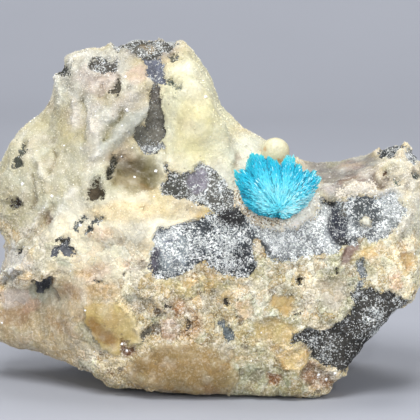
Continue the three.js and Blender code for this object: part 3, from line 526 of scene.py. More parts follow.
PLATES = {
    "amber_crust_left": plate([
        (-17.4, -13.6), (-13.7, -12.8), (-12.2, -13.0), (-11.0, -14.7), (-9.5, -17.0),
        (-9.7, -18.3), (-11.8, -18.9), (-12.9, -20.2), (-15.2, -19.6), (-16.6, -17.4),
        (-17.6, -15.8)], 0.6, 0.25, "#C2A962", 0.85, 0.9),
    "amber_heart_left": plate([
        (-17.1, -15.4), (-16.2, -14.8), (-14.6, -16.2), (-13.2, -18.2), (-13.8, -19.4),
        (-15.4, -18.2), (-16.8, -16.8)], -0.15, 0.5, "#8B652A", 0.85, 0.95),
    "rust_crystals": plate([
        (-12.6, -17.9), (-11.6, -18.2), (-10.3, -19.3), (-10.6, -20.2), (-11.9, -19.9),
        (-12.7, -19.0)], -0.3, 0.15, "#6A3E24", 0.9, 0.2),
    "grey_crust_beside_it": plate([
        (-11.9, -12.2), (-8.6, -12.4), (-6.2, -14.6), (-7.0, -18.0), (-9.0, -18.8),
        (-9.2, -16.6), (-10.6, -14.4)], -0.7, 0.15, "#CBD0BE", 0.75, 0.1),
    "amber_window": plate([
        (8.8, -11.9), (11.7, -11.8), (11.8, -14.1), (10.3, -14.4), (9.4, -13.7), (8.5, -13.1)],
        -0.4, 0.15, "#C4A666", 1.0, 0.9),
    "pale_bleb": plate([
        (6.1, -12.7), (7.8, -12.4), (9.1, -13.3), (9.1, -14.7), (7.8, -15.0), (6.5, -14.5),
        (5.9, -13.7)], 0.35, 0.15, "#DDE2CC", 0.9, 0.4),
    "amber_lump_low": plate([
        (9.6, -20.0), (11.8, -18.6), (13.5, -19.0), (14.2, -20.0), (13.7, -21.7), (12.2, -22.6),
        (10.6, -22.3), (9.8, -21.3)], 0.55, 0.2, "#D9BB7C", 0.85, 0.6),
    "orange_crust": plate([
        (6.4, -15.5), (9.0, -14.9), (11.4, -16.2), (11.0, -17.8), (7.8, -18.2), (6.3, -17.0)],
        -0.2, 0.3, "#C2AC70", 0.8, 0.7),
    "brown_glass": plate([
        (13.5, -21.7), (15.7, -22.1), (17.2, -23.1), (16.9, -24.5), (15.3, -24.7),
        (13.7, -23.3)], -0.3, 0.2, "#92704F", 0.8, 0.25),
    "green_facet": plate([
        (2.5, -22.1), (4.7, -21.1), (7.4, -22.1), (8.0, -24.1), (7.1, -25.6), (2.4, -25.6)],
        0.3, 0.2, "#A0A386", 0.8, 0.6),
    "green_facet_right": plate([
        (10.0, -23.7), (11.8, -22.7), (13.3, -23.7), (13.7, -25.3), (10.2, -26.0)],
        0.3, 0.2, "#9E9F80", 0.8, 0.5),
    "rusty_cleft": plate([
        (7.9, -22.7), (9.8, -22.9), (9.8, -24.4), (8.2, -24.5)], -0.3, 0.2, "#99663C", 0.8, 0.3),
    "mauve_glass": plate([
        (18.6, -5.5), (20.6, -4.3), (21.0, -5.5), (19.4, -7.8), (18.2, -8.0)],
        -0.3, 0.2, "#7D6662", 0.95, 0.85),
    "amber_right": plate([
        (21.2, -5.2), (23.0, -5.0), (23.6, -6.4), (22.2, -7.3), (21.0, -6.6)],
        0.1, 0.2, "#D8B878", 0.8, 0.6),
    "amber_far_right": plate([
        (27.0, -5.6), (28.6, -5.8), (28.9, -7.6), (27.6, -8.6), (26.8, -7.2)],
        -0.1, 0.2, "#C99C4E", 0.8, 0.7),
    "peach_right": plate([
        (25.0, -9.2), (26.5, -9.0), (27.0, -10.6), (25.6, -11.0)], 0.1, 0.2, "#E6B78E", 0.7, 0.3),
    "grey_glass": plate([
        (15.7, -9.6), (18.2, -9.4), (19.0, -12.0), (17.6, -14.4), (15.6, -13.4)],
        -0.25, 0.3, "#BBB3A4", 0.7, 0.7),
    "peach_middle": plate([
        (3.6, -12.6), (5.6, -12.2), (6.0, -14.6), (4.2, -15.4)], 0.15, 0.2, "#EBC69B", 0.7, 0.5),
    "grey_middle": plate([
        (4.8, -9.9), (9.6, -9.4), (10.8, -11.2), (7.6, -12.2), (5.0, -11.8)],
        -0.1, 0.3, "#C3BCA8", 0.6, 0.4),
    "cream_right": plate([
        (11.2, -8.2), (15.4, -7.6), (16.0, -9.6), (13.4, -11.4), (11.4, -10.6)],
        0.2, 0.3, "#E6DCC0", 0.6, 0.4),
    "yellow_under_main": plate([
        (-7.2, -10.2), (-3.4, -9.8), (-0.2, -9.2), (1.0, -10.6), (-1.0, -11.8), (-6.0, -12.0)],
        0.2, 0.4, "#E3C880", 0.6, 0.4),
    "olive_drop": plate([
        (0.2, -8.8), (1.4, -10.2), (2.8, -12.0), (1.4, -12.2), (0.0, -10.6)],
        0.1, 0.2, "#BEA560", 0.6, 0.6),
    # Darker partly as painted shade: the foot turns from the light.
    "tan_foot": plate([
        (-11.0, -21.3), (-9.0, -20.6), (-5.9, -18.6), (-2.0, -19.4), (0.0, -20.9), (3.5, -21.5),
        (4.2, -23.0), (2.4, -25.4), (-3.9, -25.3), (-9.8, -24.5), (-11.2, -23.3)],
        0.4, 0.4, "#967D4E", 0.7, 0.85),
    "rust_facet_high": plate([
        (-6.3, -11.9), (-4.6, -11.6), (-3.4, -13.0), (-4.6, -14.3), (-6.0, -13.6)],
        0.1, 0.2, "#B5824F", 0.6, 0.3),
    "rust_facet_low": plate([
        (-7.1, -15.6), (-5.2, -15.2), (-4.2, -16.8), (-5.0, -18.3), (-6.8, -17.8)],
        0.1, 0.2, "#A2704A", 0.65, 0.3),
    "crust_under_fan": plate([
        (3.6, 2.2), (4.0, 0.4), (5.2, -1.1), (7.2, -2.2), (10.0, -3.0), (12.4, -2.5),
        (14.4, -0.9), (15.3, 0.8), (14.6, 1.6), (12.6, 1.6), (9.8, 0.7), (6.3, 1.0)], 0.6, 0.3,
        "#FFFAEC", 0.95, 0.3, cover=0.3),
    "bead_on_band": plate([
        (21.6, -0.9), (22.3, -0.9), (22.7, -1.6), (22.3, -2.3), (21.6, -2.2), (21.3, -1.6)],
        0.6, 0.2, "#DCDCCC", 1.0, 0.7, cover=3.0),
    "ledge_over_gully": plate([
        (15.4, 2.2), (20.4, 2.6), (26.2, 3.4), (26.6, 2.2), (19.6, 1.5), (16.0, 1.2)],
        0.1, 0.3, "#DDD6CC", 0.2, 0.0),
}

# The hidden sides: colours of the crust that take turns there, and the widths in mm of the waves
# behind the crust's tone, frost and calm, the bare stone and its dust. Stone shows where its wave
# is higher than BACK_BARE_FROM, and BACK_BARE_DEPTH turns the rest of that height to mm.
BACK_TONES = [linear(c) for c in ("#D9CDA8", "#CBB98E", "#C3BCA2", "#DCC68F")]
BACK_WAVES = {"tone": 9.0, "frost": 7.0, "calm": 8.0, "bare": 11.0, "dust": 4.0}
BACK_BARE_FROM = 0.16
BACK_BARE_DEPTH = 6

# The stone and its dust, and the crust's tone, calm and frost, where nothing else is said.
BASE_STONE = linear("#3F4247")
BASE_DUST = 0.45
BASE_TONE = linear("#D2C39B")
BASE_CALM = 0.2
BASE_FROST = 0.3

# How far, in mm, the crust stands above an even skin and the stone lies below it; how high the
# crust's rim is, how far outside the stone's edge and how wide; half the width of that edge, the
# width and height of two sizes of waves that fray it, and how far two others move all outlines.
CRUST_RISE = 0.1
STONE_DROP = 0.3
RIM_RISE = 0.25
RIM_AT = 0.45
RIM_WIDTH = 0.4
EDGE_SOFT = 0.22
EDGE_COARSE = (1.4, 0.3)
EDGE_FINE = (0.7, 0.18)
PATCH_WOBBLE = (0.4, 0.2)

# What makes up that relief: the width and the height in mm of the crust's broken faces, the chips
# on them, its fine, soft and broad knobs and its slow waves, and of the stone's cuts, bits and
# slow waves.
BROKEN = (2.6, 1.0)
CHIPS = (1.15, 0.42)
FINE_KNOBS = (0.9, 0.2)
SOFT_KNOBS = (1.6, 0.12)
BROAD_KNOBS = (3.8, 0.3)
CRUST_WAVES = (5.5, 0.35)
CUTS = (1.9, 0.5)
BITS = (0.8, 0.16)
STONE_WAVES = (4.0, 0.3)

# The crust is never one colour. Each row is a tone, the width in mm of the waves that bring it,
# and its strength on the upper and on the lower half of the block. It sets in where its waves
# pass MOTTLE_FROM and is full at MOTTLE_FULL. The halves turn into each other between the heights
# MOTTLE_TURN; on the hidden sides, waves TURN_WIDTH wide move these heights by up to TURN_WANDER.
MOTTLES = [
    ("#F4F2E8", 2.7, 0.5, 0.5), ("#CDBF86", 3.4, 0.4, 0.2), ("#DCE2D4", 2.1, 0.4, 0.25),
    ("#C8B8AE", 2.9, 0.3, 0.2), ("#E2B890", 2.6, 0.05, 0.24), ("#AFA26C", 1.9, 0.14, 0.34),
    ("#908A78", 1.5, 0.1, 0.3), ("#F8F4E6", 1.0, 0.35, 0.6), ("#A97A4C", 0.9, 0.0, 0.16),
]
MOTTLE_TURN = (20.0, 28.0)
TURN_WIDTH = 11.0
TURN_WANDER = 9.0
MOTTLE_FROM = 0.12
MOTTLE_FULL = 0.6

# Hollows between chips are darker by CAVITY_DARK at CAVITY_DEPTH: painted shade, with some dirt
# in them too. A few chips, those with a number in PIT_CHANCE, are pits of this depth, tone and
# strength; their dark brown is partly painted shade in the pit.
CAVITY_DARK = 0.6
CAVITY_DEPTH = 0.5
PIT_CHANCE = (0.965, 0.975)
PIT_DEPTH = 0.5
PIT_TONE = linear("#4E3C2C")
PIT_STRENGTH = 0.8


def mottled(tones, points, low, calm):
    """The crust's tones with each mottle laid over them where its waves are high: by one strength
    on the upper half of the block, by another where low is 1, and by less on calm crust."""
    for number, (colour, size, high_strength, low_strength) in enumerate(MOTTLES):
        wave = layers(points, size, 70 + 4 * number, 2)
        share = blend(high_strength, low_strength, low) * smooth(MOTTLE_FROM, MOTTLE_FULL, wave)
        tones = blend(tones, linear(colour), share * (1 - 0.8 * calm))
    return tones


def wobbled(places, points):
    """The places moved to and fro by two sizes of waves, so that no outline on them is smooth."""
    shift = np.stack([PATCH_WOBBLE[0] * waves(points, 1.7, 60 + i)
                      + PATCH_WOBBLE[1] * waves(points, 0.6, 64 + i) for i in range(2)], axis=1)
    return places + shift


def oval_share(places, spot):
    """How strongly an oval colours each place: full inside seven tenths of it, then less and less,
    and nothing past its edge by a quarter."""
    dx, dy = (places - np.array(spot["at"])).T
    across = dx * math.cos(spot["lean"]) + dy * math.sin(spot["lean"])
    along = -dx * math.sin(spot["lean"]) + dy * math.cos(spot["lean"])
    radius = np.hypot(across / spot["half"][0], along / spot["half"][1])
    return spot["strength"] * (1 - smooth(0.7, 1.25, radius))


def show_face(points):
    """What the show face has at each point: the crust's colour, calm and frost, the depth inside
    bare basalt with that stone's colour and dust, and the height of the marks."""
    places = show_places(points)
    loose = wobbled(places, points)
    crust = np.tile(BASE_TONE, (len(points), 1))
    calm = np.full(len(points), BASE_CALM)
    frost = np.full(len(points), BASE_FROST)
    for spot in STAINS.values():
        share = oval_share(loose, spot)
        crust = blend(crust, spot["colour"], share)
        calm = blend(calm, spot["calm"], share)
        frost = blend(frost, spot["frost"], share)
    bare = np.full(len(points), -9.0)
    stone = np.tile(BASE_STONE, (len(points), 1))
    dust = np.full(len(points), BASE_DUST)
    for outline, colour, patch_dust in BASALT.values():
        depth = patch_depth(loose, outline)
        nearer = (depth > bare).astype(float)
        stone = blend(stone, linear(colour), nearer)
        dust = blend(dust, patch_dust, nearer)
        bare = np.maximum(bare, depth)
    for spot in STONE_SPOTS.values():
        share = oval_share(loose, spot)
        stone = blend(stone, spot["colour"], share)
        dust = blend(dust, spot["dust"], share)
    height = np.zeros(len(points))
    for p in PLATES.values():
        depth = patch_depth(loose, p["outline"])
        inside = smooth(-p["edge"], p["edge"], depth)
        if p["cover"]:
            bare = np.minimum(bare, np.maximum(-depth, -p["cover"]))
        height += p["rise"] * inside
        crust = blend(crust, p["colour"], p["strength"] * inside)
        calm = blend(calm, p["calm"], inside)
    for m in MARKS.values():
        share = np.exp(-((line_distance(loose, m["line"]) / m["width"]) ** 2))
        height += m["height"] * share
        crust = blend(crust, m["colour"], m["strength"] * share)
    return crust, calm, frost, bare, stone, dust, height


def hidden_sides(points):
    """The same for the sides that the show face doesn't have: tones that take turns by slow waves,
    and bare stone wherever another slow wave is high."""
    crust = np.tile(BACK_TONES[0], (len(points), 1))
    for i, tone in enumerate(BACK_TONES[1:]):
        share = smooth(0.0, 0.5, layers(points, BACK_WAVES["tone"], 20 + 3 * i))
        crust = blend(crust, tone, share)
    frost = 0.35 + 0.3 * waves(points, BACK_WAVES["frost"], 33)
    calm = smooth(0.1, 0.7, layers(points, BACK_WAVES["calm"], 36)) * 0.8
    bare = (layers(points, BACK_WAVES["bare"], 40, 4) - BACK_BARE_FROM) * BACK_BARE_DEPTH
    dust = np.clip(0.42 + 0.3 * waves(points, BACK_WAVES["dust"], 45), 0.05, 0.7)
    stone = np.tile(BASE_STONE, (len(points), 1))
    return crust, calm, frost, bare, stone, dust, np.zeros(len(points))


def put(name, data):
    """A new object in the scene, with a mesh, a lamp or a camera for its data."""
    piece = bpy.data.objects.new(name, data)
    bpy.context.scene.collection.objects.link(piece)
    return piece


def skin_object():
    """The block's own surface as one even skin: the solid's loose triangles are merged, remeshed
    to cells of SKIN_CELL, and each point is then moved towards the mean of its neighbours."""
    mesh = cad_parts["matrix_block"].data.copy()
    work = bmesh.new()
    work.from_mesh(mesh)
    bmesh.ops.remove_doubles(work, verts=work.verts, dist=SKIN_MERGE * MM)
    work.to_mesh(mesh)
    work.free()
    skin = put("crusted_basalt_block", mesh)
    remesh = skin.modifiers.new("even", "REMESH")
    remesh.mode = "VOXEL"
    remesh.voxel_size = SKIN_CELL * MM
    evening = skin.modifiers.new("smooth", "SMOOTH")
    evening.factor = 0.5
    evening.iterations = SKIN_EVENING
    bpy.context.view_layer.update()
    finished = skin.evaluated_get(bpy.context.evaluated_depsgraph_get())
    made = bpy.data.meshes.new_from_object(finished)
    skin.modifiers.clear()
    skin.data = made
    made.materials.clear()
    return skin


def points_of(mesh):
    values = np.empty(len(mesh.vertices) * 3, np.float32)
    mesh.vertices.foreach_get("co", values)
    return values.reshape(-1, 3).astype(float) / MM


def normals_of(mesh):
    values = np.empty(len(mesh.vertices) * 3, np.float32)
    mesh.vertex_normals.foreach_get("vector", values)
    return values.reshape(-1, 3).astype(float)


def put_points(mesh, points):
    mesh.vertices.foreach_set("co", (points * MM).astype(np.float32).ravel())
    mesh.update()


def give(mesh, name, values):
    """Stores one value or colour for each point of a mesh under a name that materials read."""
    values = np.asarray(values, np.float32)
    if values.ndim == 2:
        values = np.concatenate([values, np.ones((len(values), 1), np.float32)], axis=1)
        mesh.attributes.new(name, "FLOAT_COLOR", "POINT").data.foreach_set("color", values.ravel())
    else:
        mesh.attributes.new(name, "FLOAT", "POINT").data.foreach_set("value", values)


def seen_share(normals):
    """1 where the skin faces the camera, 0 where it faces away, and a little more on what faces
    up, so that the show face reaches over its crest."""
    up = CREST_SEEN * smooth(*FACES_UP, normals[:, 2])
    return smooth(*SEEN_TURN, normals @ TO_EYE + up)


def bead_surface(points):
    """How much of the bead each point is, and where the bead's surface lies beside it: on a ball
    whose radius waves a little."""
    from_bead = points - np.array(BEAD["at"])
    away = np.linalg.norm(from_bead, axis=1)
    share = 1 - smooth(BEAD["full"], BEAD["reach"], away)
    wide, high = BEAD["waves"]
    radius = BEAD["radius"] + high * layers(points, wide, 190)
    ball = np.array(BEAD["at"]) + from_bead * (radius / away)[:, None]
    return share * (from_bead[:, 2] > BEAD["neck"]), ball


def crust_relief(points, calm, rough, seen):
    """The crust's height, which is the sum of broken faces and chips, knobs of three sizes, slow
    waves and a few pits; then how much lighter or darker each chip is, how deep each point lies
    in a hollow, and where the pits are."""
    broken, broken_tone = facets(points, BROKEN[0], 130)
    chips, chip_tone = facets(points, CHIPS[0], 140)
    pits = rough * smooth(*PIT_CHANCE, chip_tone) * smooth(0.55, 0.8, chips) * (0.15 + 0.85 * seen)
    small = (CHIPS[1] * (chips - 0.5) * rough
             + FINE_KNOBS[1] * (knobs(points, FINE_KNOBS[0], 11) - 0.4) * rough
             + SOFT_KNOBS[1] * (knobs(points, SOFT_KNOBS[0], 7) - 0.4) * calm - PIT_DEPTH * pits)
    height = (CRUST_RISE + BROKEN[1] * (broken - 0.5) * (0.1 + 0.9 * rough) + small
              + BROAD_KNOBS[1] * (knobs(points, BROAD_KNOBS[0], 3) - 0.4)
              + CRUST_WAVES[1] * layers(points, CRUST_WAVES[0], 50))
    tone = 1 + rough * (0.24 * (broken_tone - 0.5) + 0.2 * (chip_tone - 0.5))
    hollow = smooth(0.0, CAVITY_DEPTH, 0.12 - small - 0.3 * (broken - 0.6) * rough)
    return height, tone, hollow, pits


def stone_relief(points):
    """The bare stone's height below the crust, which is the sum of cuts, bits and slow waves; then
    how light each place is: by chance for each cut, with painted light where the bits stand high
    and painted shade, with some dirt, where they lie low; and how much dust it holds."""
    cuts, cut_tone = facets(points, CUTS[0], 150)
    bits, _ = facets(points, BITS[0], 160)
    small = CUTS[1] * (cuts - 0.5) + BITS[1] * (bits - 0.5)
    height = -STONE_DROP + STONE_WAVES[1] * layers(points, STONE_WAVES[0], 14) + small
    return height, 0.75 + 0.5 * cut_tone + 0.8 * (small - 0.1), 0.5 + 0.8 * cut_tone


def dress_skin(skin):
    """Moves the skin's points along their normals and stores its colours. The height is the
    crust's where crust lies and the stone's where it is bare, plus a raised rim where one meets
    the other, and the marks; it fades out at the foot."""
    mesh = skin.data
    points = points_of(mesh)
    normals = normals_of(mesh)
    seen = seen_share(normals)
    sides = zip(hidden_sides(points), show_face(points))
    crust, calm, frost, bare, stone, dust, marks = (blend(h, s, seen) for h, s in sides)
    on_bead, ball = bead_surface(points)
    for salt, (wide, deep) in enumerate((EDGE_COARSE, EDGE_FINE), start=90):
        bare = bare + deep * waves(points, wide, salt)
    bare = blend(bare, -3.0, on_bead)
    wander = TURN_WANDER * (1 - seen) * waves(points, TURN_WIDTH, 180)
    low = 1 - smooth(*MOTTLE_TURN, points[:, 2] + wander)
    rough = (1 - calm) * (0.5 + 0.5 * low)

    crust_height, crust_light, hollow, pits = crust_relief(points, calm, rough, seen)
    stone_height, stone_light, dustiness = stone_relief(points)
    rim = RIM_RISE * (0.6 + 0.9 * waves(points, 1.5, 170))
    rim *= np.exp(-(((bare + RIM_AT) / RIM_WIDTH) ** 2))
    height = blend(crust_height, stone_height, smooth(-EDGE_SOFT, EDGE_SOFT, bare)) + rim + marks
    height *= smooth(FOOT_FLAT, FOOT_BLEND, points[:, 2])
    moved = blend(points + normals * height[:, None], ball, on_bead)
    moved[:, 2] = np.maximum(moved[:, 2], 0)
    put_points(mesh, moved)

    crust = mottled(crust, points, low, calm)
    crust *= crust_light[:, None]
    # Painted shade, with some dirt, in the hollows; the pits' brown is partly painted shade.
    crust *= (1 - CAVITY_DARK * hollow * rough)[:, None]
    crust = blend(crust, PIT_TONE, PIT_STRENGTH * pits)
    dust = dust * dustiness
    give(mesh, "crust_tone", crust)
    # stone_light holds painted light and shade from the stone's relief.
    give(mesh, "stone_tone", stone * stone_light[:, None])
    give(mesh, "bare_depth", np.clip(bare, -3, 3))
    give(mesh, "dust", dust)
    give(mesh, "calm", calm)
    give(mesh, "patchwork", (0.15 + 0.85 * rough) * (0.35 + 0.65 * low))
    # The grains take back part of the hollows' painted shade.
    return {"crust": crust * (1 + 0.3 * hollow)[:, None], "frost": frost,
            "calm": np.maximum(calm, on_bead), "bare": bare, "dust": dust, "seen": seen}


# One grain of the druse: an eight-faced crystal with six corners, and a slanted block with eight
# corners and six faces in twelve triangles.
GRAIN_CORNERS = np.array([[1, 0, 0], [0, 1, 0], [-1, 0, 0], [0, -1, 0], [0, 0, 1], [0, 0, -1.0]])
GRAIN_FACES = np.array([[0, 1, 4], [1, 2, 4], [2, 3, 4], [3, 0, 4],
                        [1, 0, 5], [2, 1, 5], [3, 2, 5], [0, 3, 5]])
BLOCK_SLANT = 0.35
BLOCK_CORNERS = np.array([[x + BLOCK_SLANT * z, y + BLOCK_SLANT * z, z]
                          for z in (-1, 1) for x, y in ((-1, -1), (1, -1), (1, 1), (-1, 1))])
BLOCK_FACES = np.array([[0, 3, 2], [0, 2, 1], [4, 5, 6], [4, 6, 7], [0, 1, 5], [0, 5, 4],
                        [1, 2, 6], [1, 6, 5], [2, 3, 7], [2, 7, 6], [3, 0, 4], [3, 4, 7]])


def leaning_frames(normals, most_lean, draw):
    """Three unit directions for each crystal: the third leans from the normal by up to most_lean
    as a tangent, and the other two are turned by chance round it."""
    up = normals + draw.uniform(-1, 1, normals.shape) * math.tan(most_lean)
    up /= np.linalg.norm(up, axis=1)[:, None]
    side = np.cross(up, draw.normal(size=normals.shape))
    side /= np.linalg.norm(side, axis=1)[:, None]
    return np.stack([side, np.cross(up, side), up], axis=1)


def crystals(name, corners, faces, centres, frames, halves, tones, material):
    """Many crystals as one mesh: each corner is the centre plus the crystal's three directions,
    each times its half-size and the corner's share along it."""
    points = centres[:, None, :] + np.einsum("nc,kc,ncd->nkd", halves, corners, frames)
    starts = np.arange(len(centres))[:, None, None] * len(corners)
    mesh = bpy.data.meshes.new(name)
    mesh.from_pydata(points.reshape(-1, 3) * MM, [], (faces[None] + starts).reshape(-1, 3))
    give(mesh, "crust_tone", np.repeat(tones, len(corners), axis=0))
    mesh.materials.append(material)
    return put(name, mesh)


def spread(skin, weights, count, draw):
    """Chance places on the skin: a triangle is drawn by its area times the mean weight of its
    corners, and a place in it by three shares that add up to one. Gives the places, normals and
    each place's nearest corner."""
    mesh = skin.data
    mesh.calc_loop_triangles()
    triangles = np.empty(len(mesh.loop_triangles) * 3, np.int32)
    mesh.loop_triangles.foreach_get("vertices", triangles)
    triangles = triangles.reshape(-1, 3)
    points = points_of(mesh)
    normals = normals_of(mesh)
    a, b, c = (points[triangles[:, i]] for i in range(3))
    area = np.linalg.norm(np.cross(b - a, c - a), axis=1) / 2
    odds = area * weights[triangles].mean(axis=1)
    chosen = triangles[draw.choice(len(triangles), count, p=odds / odds.sum())]
    shares = draw.dirichlet((1, 1, 1), count)
    places = np.einsum("nk,nkd->nd", shares, points[chosen])
    nearest = chosen[np.arange(count), shares.argmax(axis=1)]
    return places, normals[nearest], nearest


# The druse: how many grains, in how many pieces side by side along the block, their half-sizes in
# mm, and against these the least and most of each along its own three directions; how far they
# lean from the skin's normal, and how deep they stand in it, against their half-size. Then what
# tints them and by how much at most, the tone of frost and how strongly it covers them, and how
# much darker or lighter chance makes each.
GRAIN_COUNT = 62000
GRAIN_PIECES = 3
GRAIN_HALF = (0.065, 0.19)
GRAIN_SHAPE = ((0.7, 0.6, 0.9), (1.1, 1.0, 1.5))
GRAIN_LEAN = math.radians(48)
GRAIN_SINK = 0.2
GRAIN_TINTS = [linear(c) for c in ("#FAF8F0", "#E6D5AE", "#B5B092", "#D9D6D0")]
TINT_SHARE = 0.3
FROST_TONE = linear("#F1EDE2")
FROST_SHARE = 1.2
GRAIN_LIGHT = (0.95, 1.2)

# The dust on bare stone, in the same way.
DUST_COUNT = 16000
DUST_HALF = (0.05, 0.13)
DUST_SHAPE = ((0.8, 0.6, 0.5), (1.3, 1.1, 0.9))
DUST_TONES = [linear(c) for c in ("#C9CCCA", "#9FA4A4", "#E6E7E2")]

# No grain stands lower than this, and the hidden sides have them by this share.
FOOT_BARE = 0.5
HIDDEN_DENSITY = 0.55


def druse(skin, facts, material):
    """Sugary grains all over the crust, few where it is calm, tinted as the crust under them and
    whiter where it is frosted, cut into pieces of equal count from left to right."""
    draw = np.random.default_rng(SEED)
    height = points_of(skin.data)[:, 2]
    weights = (1 - facts["calm"]) ** 1.5 * (1 - smooth(-0.15, 0.1, facts["bare"]))
    weights *= (height > FOOT_BARE) * (HIDDEN_DENSITY + (1 - HIDDEN_DENSITY) * facts["seen"])
    places, normals, nearest = spread(skin, weights, GRAIN_COUNT, draw)
    size = GRAIN_HALF[0] + (GRAIN_HALF[1] - GRAIN_HALF[0]) * draw.beta(1.4, 2.4, GRAIN_COUNT)
    halves = size[:, None] * draw.uniform(*GRAIN_SHAPE, (GRAIN_COUNT, 3))
    white = draw.uniform(0, 1, GRAIN_COUNT) ** 2 * facts["frost"][nearest] * FROST_SHARE
    tones = blend(facts["crust"][nearest], FROST_TONE, np.clip(white, 0, 1))
    tint = np.array(GRAIN_TINTS)[draw.integers(0, len(GRAIN_TINTS), GRAIN_COUNT)]
    tones = blend(tones, tint, TINT_SHARE * draw.uniform(0, 1, GRAIN_COUNT) ** 2)
    tones = np.clip(tones * draw.uniform(*GRAIN_LIGHT, (GRAIN_COUNT, 1)), 0, 0.95)
    centres = places - normals * (size * GRAIN_SINK)[:, None]
    frames = leaning_frames(normals, GRAIN_LEAN, draw)
    order = np.argsort(places[:, 0])
    for number, part in enumerate(np.array_split(order, GRAIN_PIECES), start=1):
        yield crystals(f"zeolite_druse_{number}", GRAIN_CORNERS, GRAIN_FACES, centres[part],
                       frames[part], halves[part], tones[part], material)


def stone_dust(skin, facts, material):
    """Tiny pale crystals sprinkled on the bare basalt, as dense as its dust share says and thicker
    where waves of 1.5 mm are high."""
    draw = np.random.default_rng(SEED + 1)
    points = points_of(skin.data)
    weights = smooth(0.0, 0.2, facts["bare"]) * facts["dust"]
    weights *= 0.15 + smooth(-0.1, 0.5, layers(points, 1.5, 95, 2))
    weights *= (points[:, 2] > FOOT_BARE) * (0.4 + 0.6 * facts["seen"])
    places, normals, _ = spread(skin, weights, DUST_COUNT, draw)
    size = draw.uniform(*DUST_HALF, DUST_COUNT)
    halves = size[:, None] * draw.uniform(*DUST_SHAPE, (DUST_COUNT, 3))
    tones = np.array(DUST_TONES)[draw.integers(0, len(DUST_TONES), DUST_COUNT)]
    return crystals("pale_dust_on_basalt", GRAIN_CORNERS, GRAIN_FACES, places,
                    leaning_frames(normals, GRAIN_LEAN, draw), halves, tones, material)


# The largest, clearest crystals of the druse, by their places on the show face, and their
# half-size in mm. Their pure white is partly a painted glint; their faces turned to the main lamp
# give a real one too.
SPARKLES = np.array([
    (-11.9, 18.6), (-12.3, 11.9), (-11.5, 14.1), (-10.8, 8.8), (-12.3, 7.4), (-10.6, 4.6),
    (-7.6, 5.5), (-18.2, -2.1), (-17.5, -14.1), (-29.0, -15.7), (-12.2, -18.9), (-11.5, -19.6),
    (16.1, -23.7), (15.0, -22.9), (17.4, -23.0), (-24.6, 12.9), (-20.4, 9.0), (-26.3, 3.6),
    (-22.0, 1.9), (-16.0, 13.1), (25.1, 1.4), (-3.0, 20.2), (-0.6, 15.9), (13.3, 0.9)])
SPARKLE_HALF = 0.14

# Smaller ones: how many, and their size against those; and the way half between the viewer and
# the main lamp, which the top faces of all of them look.
GLINT_COUNT = 90
GLINT_SIZE = 0.45
GLINT_WAY = [-0.1, -0.86, 0.5]


def sparkles(skin, facts, material):
    """A clear block at the seen skin point nearest to each of the places, and small ones by chance
    where the crust is frosted, each with its top face turned half-way between the viewer and the
    main lamp. Their pure white is partly a painted glint."""
    points = points_of(skin.data)
    places = show_places(points)
    apart = np.hypot(*(places[:, None] - SPARKLES[None]).transpose(2, 0, 1))
    chosen = points[np.argmin(apart + 9 * (1 - facts["seen"])[:, None], axis=0)]
    draw = np.random.default_rng(SEED + 4)
    weights = facts["seen"] * facts["frost"] * (facts["bare"] < 0)
    glints, _, _ = spread(skin, weights, GLINT_COUNT, draw)
    count = len(SPARKLES) + GLINT_COUNT
    size = np.concatenate([np.ones(len(SPARKLES)), np.full(GLINT_COUNT, GLINT_SIZE)])[:, None]
    size *= SPARKLE_HALF * draw.uniform(0.6, 1.3, (count, 1))
    half_way = np.tile(GLINT_WAY, (count, 1))
    return crystals("sparkling_crystals", BLOCK_CORNERS, BLOCK_FACES,
                    np.concatenate([chosen, glints]),
                    leaning_frames(half_way, math.radians(8), draw),
                    # Pure white: partly a painted glint.
                    size * draw.uniform(0.8, 1.1, (count, 3)), np.ones((count, 3)), material)


# White crystals round the fan's foot and on the ledge to its right: the lines they follow on the
# show face, how far from these they stray, their number, their half-sizes in mm and their shares
# along three directions, their tones, how far to the right nearly all are white, the half-width
# of that stretch, and what tints those on the ledge and from where to where it sets in.
FOOT_LINE = [(4.0, 2.8), (4.6, 0.9), (6.2, -0.8), (8.8, -1.7), (11.0, -1.5), (13.4, -0.1),
             (14.4, 1.4)]
LEDGE_LINE = [(18.4, 2.4), (20.4, 2.8), (22.6, 3.3)]
FOOT_STRAY = 0.5
FOOT_COUNT = 2000
FOOT_HALF = (0.07, 0.3)
FOOT_SHAPE = ((0.7, 0.6, 0.8), (1.1, 1.0, 1.4))
FOOT_TONES = [linear(c) for c in ("#FFFDF2", "#FFFDF2", "#FFF8E4", "#EED9B8", "#8F7C60")]
FOOT_WHITEST = 12.4
FOOT_WHITE_HALF = 2.5
LEDGE_TONE = linear("#E2DACC")
LEDGE_FROM = (15, 17)


def foot_crystals(skin, facts, material):
    """White zeolite grains, thickest along the line where the fan has grown from the crust and
    along the end of the ledge."""
    draw = np.random.default_rng(SEED + 3)
    places = show_places(points_of(skin.data))
    near = np.minimum(line_distance(places, FOOT_LINE), line_distance(places, LEDGE_LINE))
    weights = np.exp(-((near / FOOT_STRAY) ** 2)) * facts["seen"]
    places, normals, _ = spread(skin, weights, FOOT_COUNT, draw)
    size = FOOT_HALF[0] + (FOOT_HALF[1] - FOOT_HALF[0]) * draw.beta(1.2, 2.2, FOOT_COUNT)
    halves = size[:, None] * draw.uniform(*FOOT_SHAPE, (FOOT_COUNT, 3))
    tones = np.array(FOOT_TONES)[draw.integers(0, len(FOOT_TONES), FOOT_COUNT)]
    whitest = np.exp(-(((places[:, 0] - FOOT_WHITEST) / FOOT_WHITE_HALF) ** 2))
    tones = blend(tones, FOOT_TONES[0], 0.85 * whitest)
    tones = blend(tones, LEDGE_TONE, 0.8 * smooth(*LEDGE_FROM, places[:, 0]))
    return crystals("white_crystals_round_fan", GRAIN_CORNERS, GRAIN_FACES, places,
                    leaning_frames(normals, GRAIN_LEAN, draw), halves, tones, material)
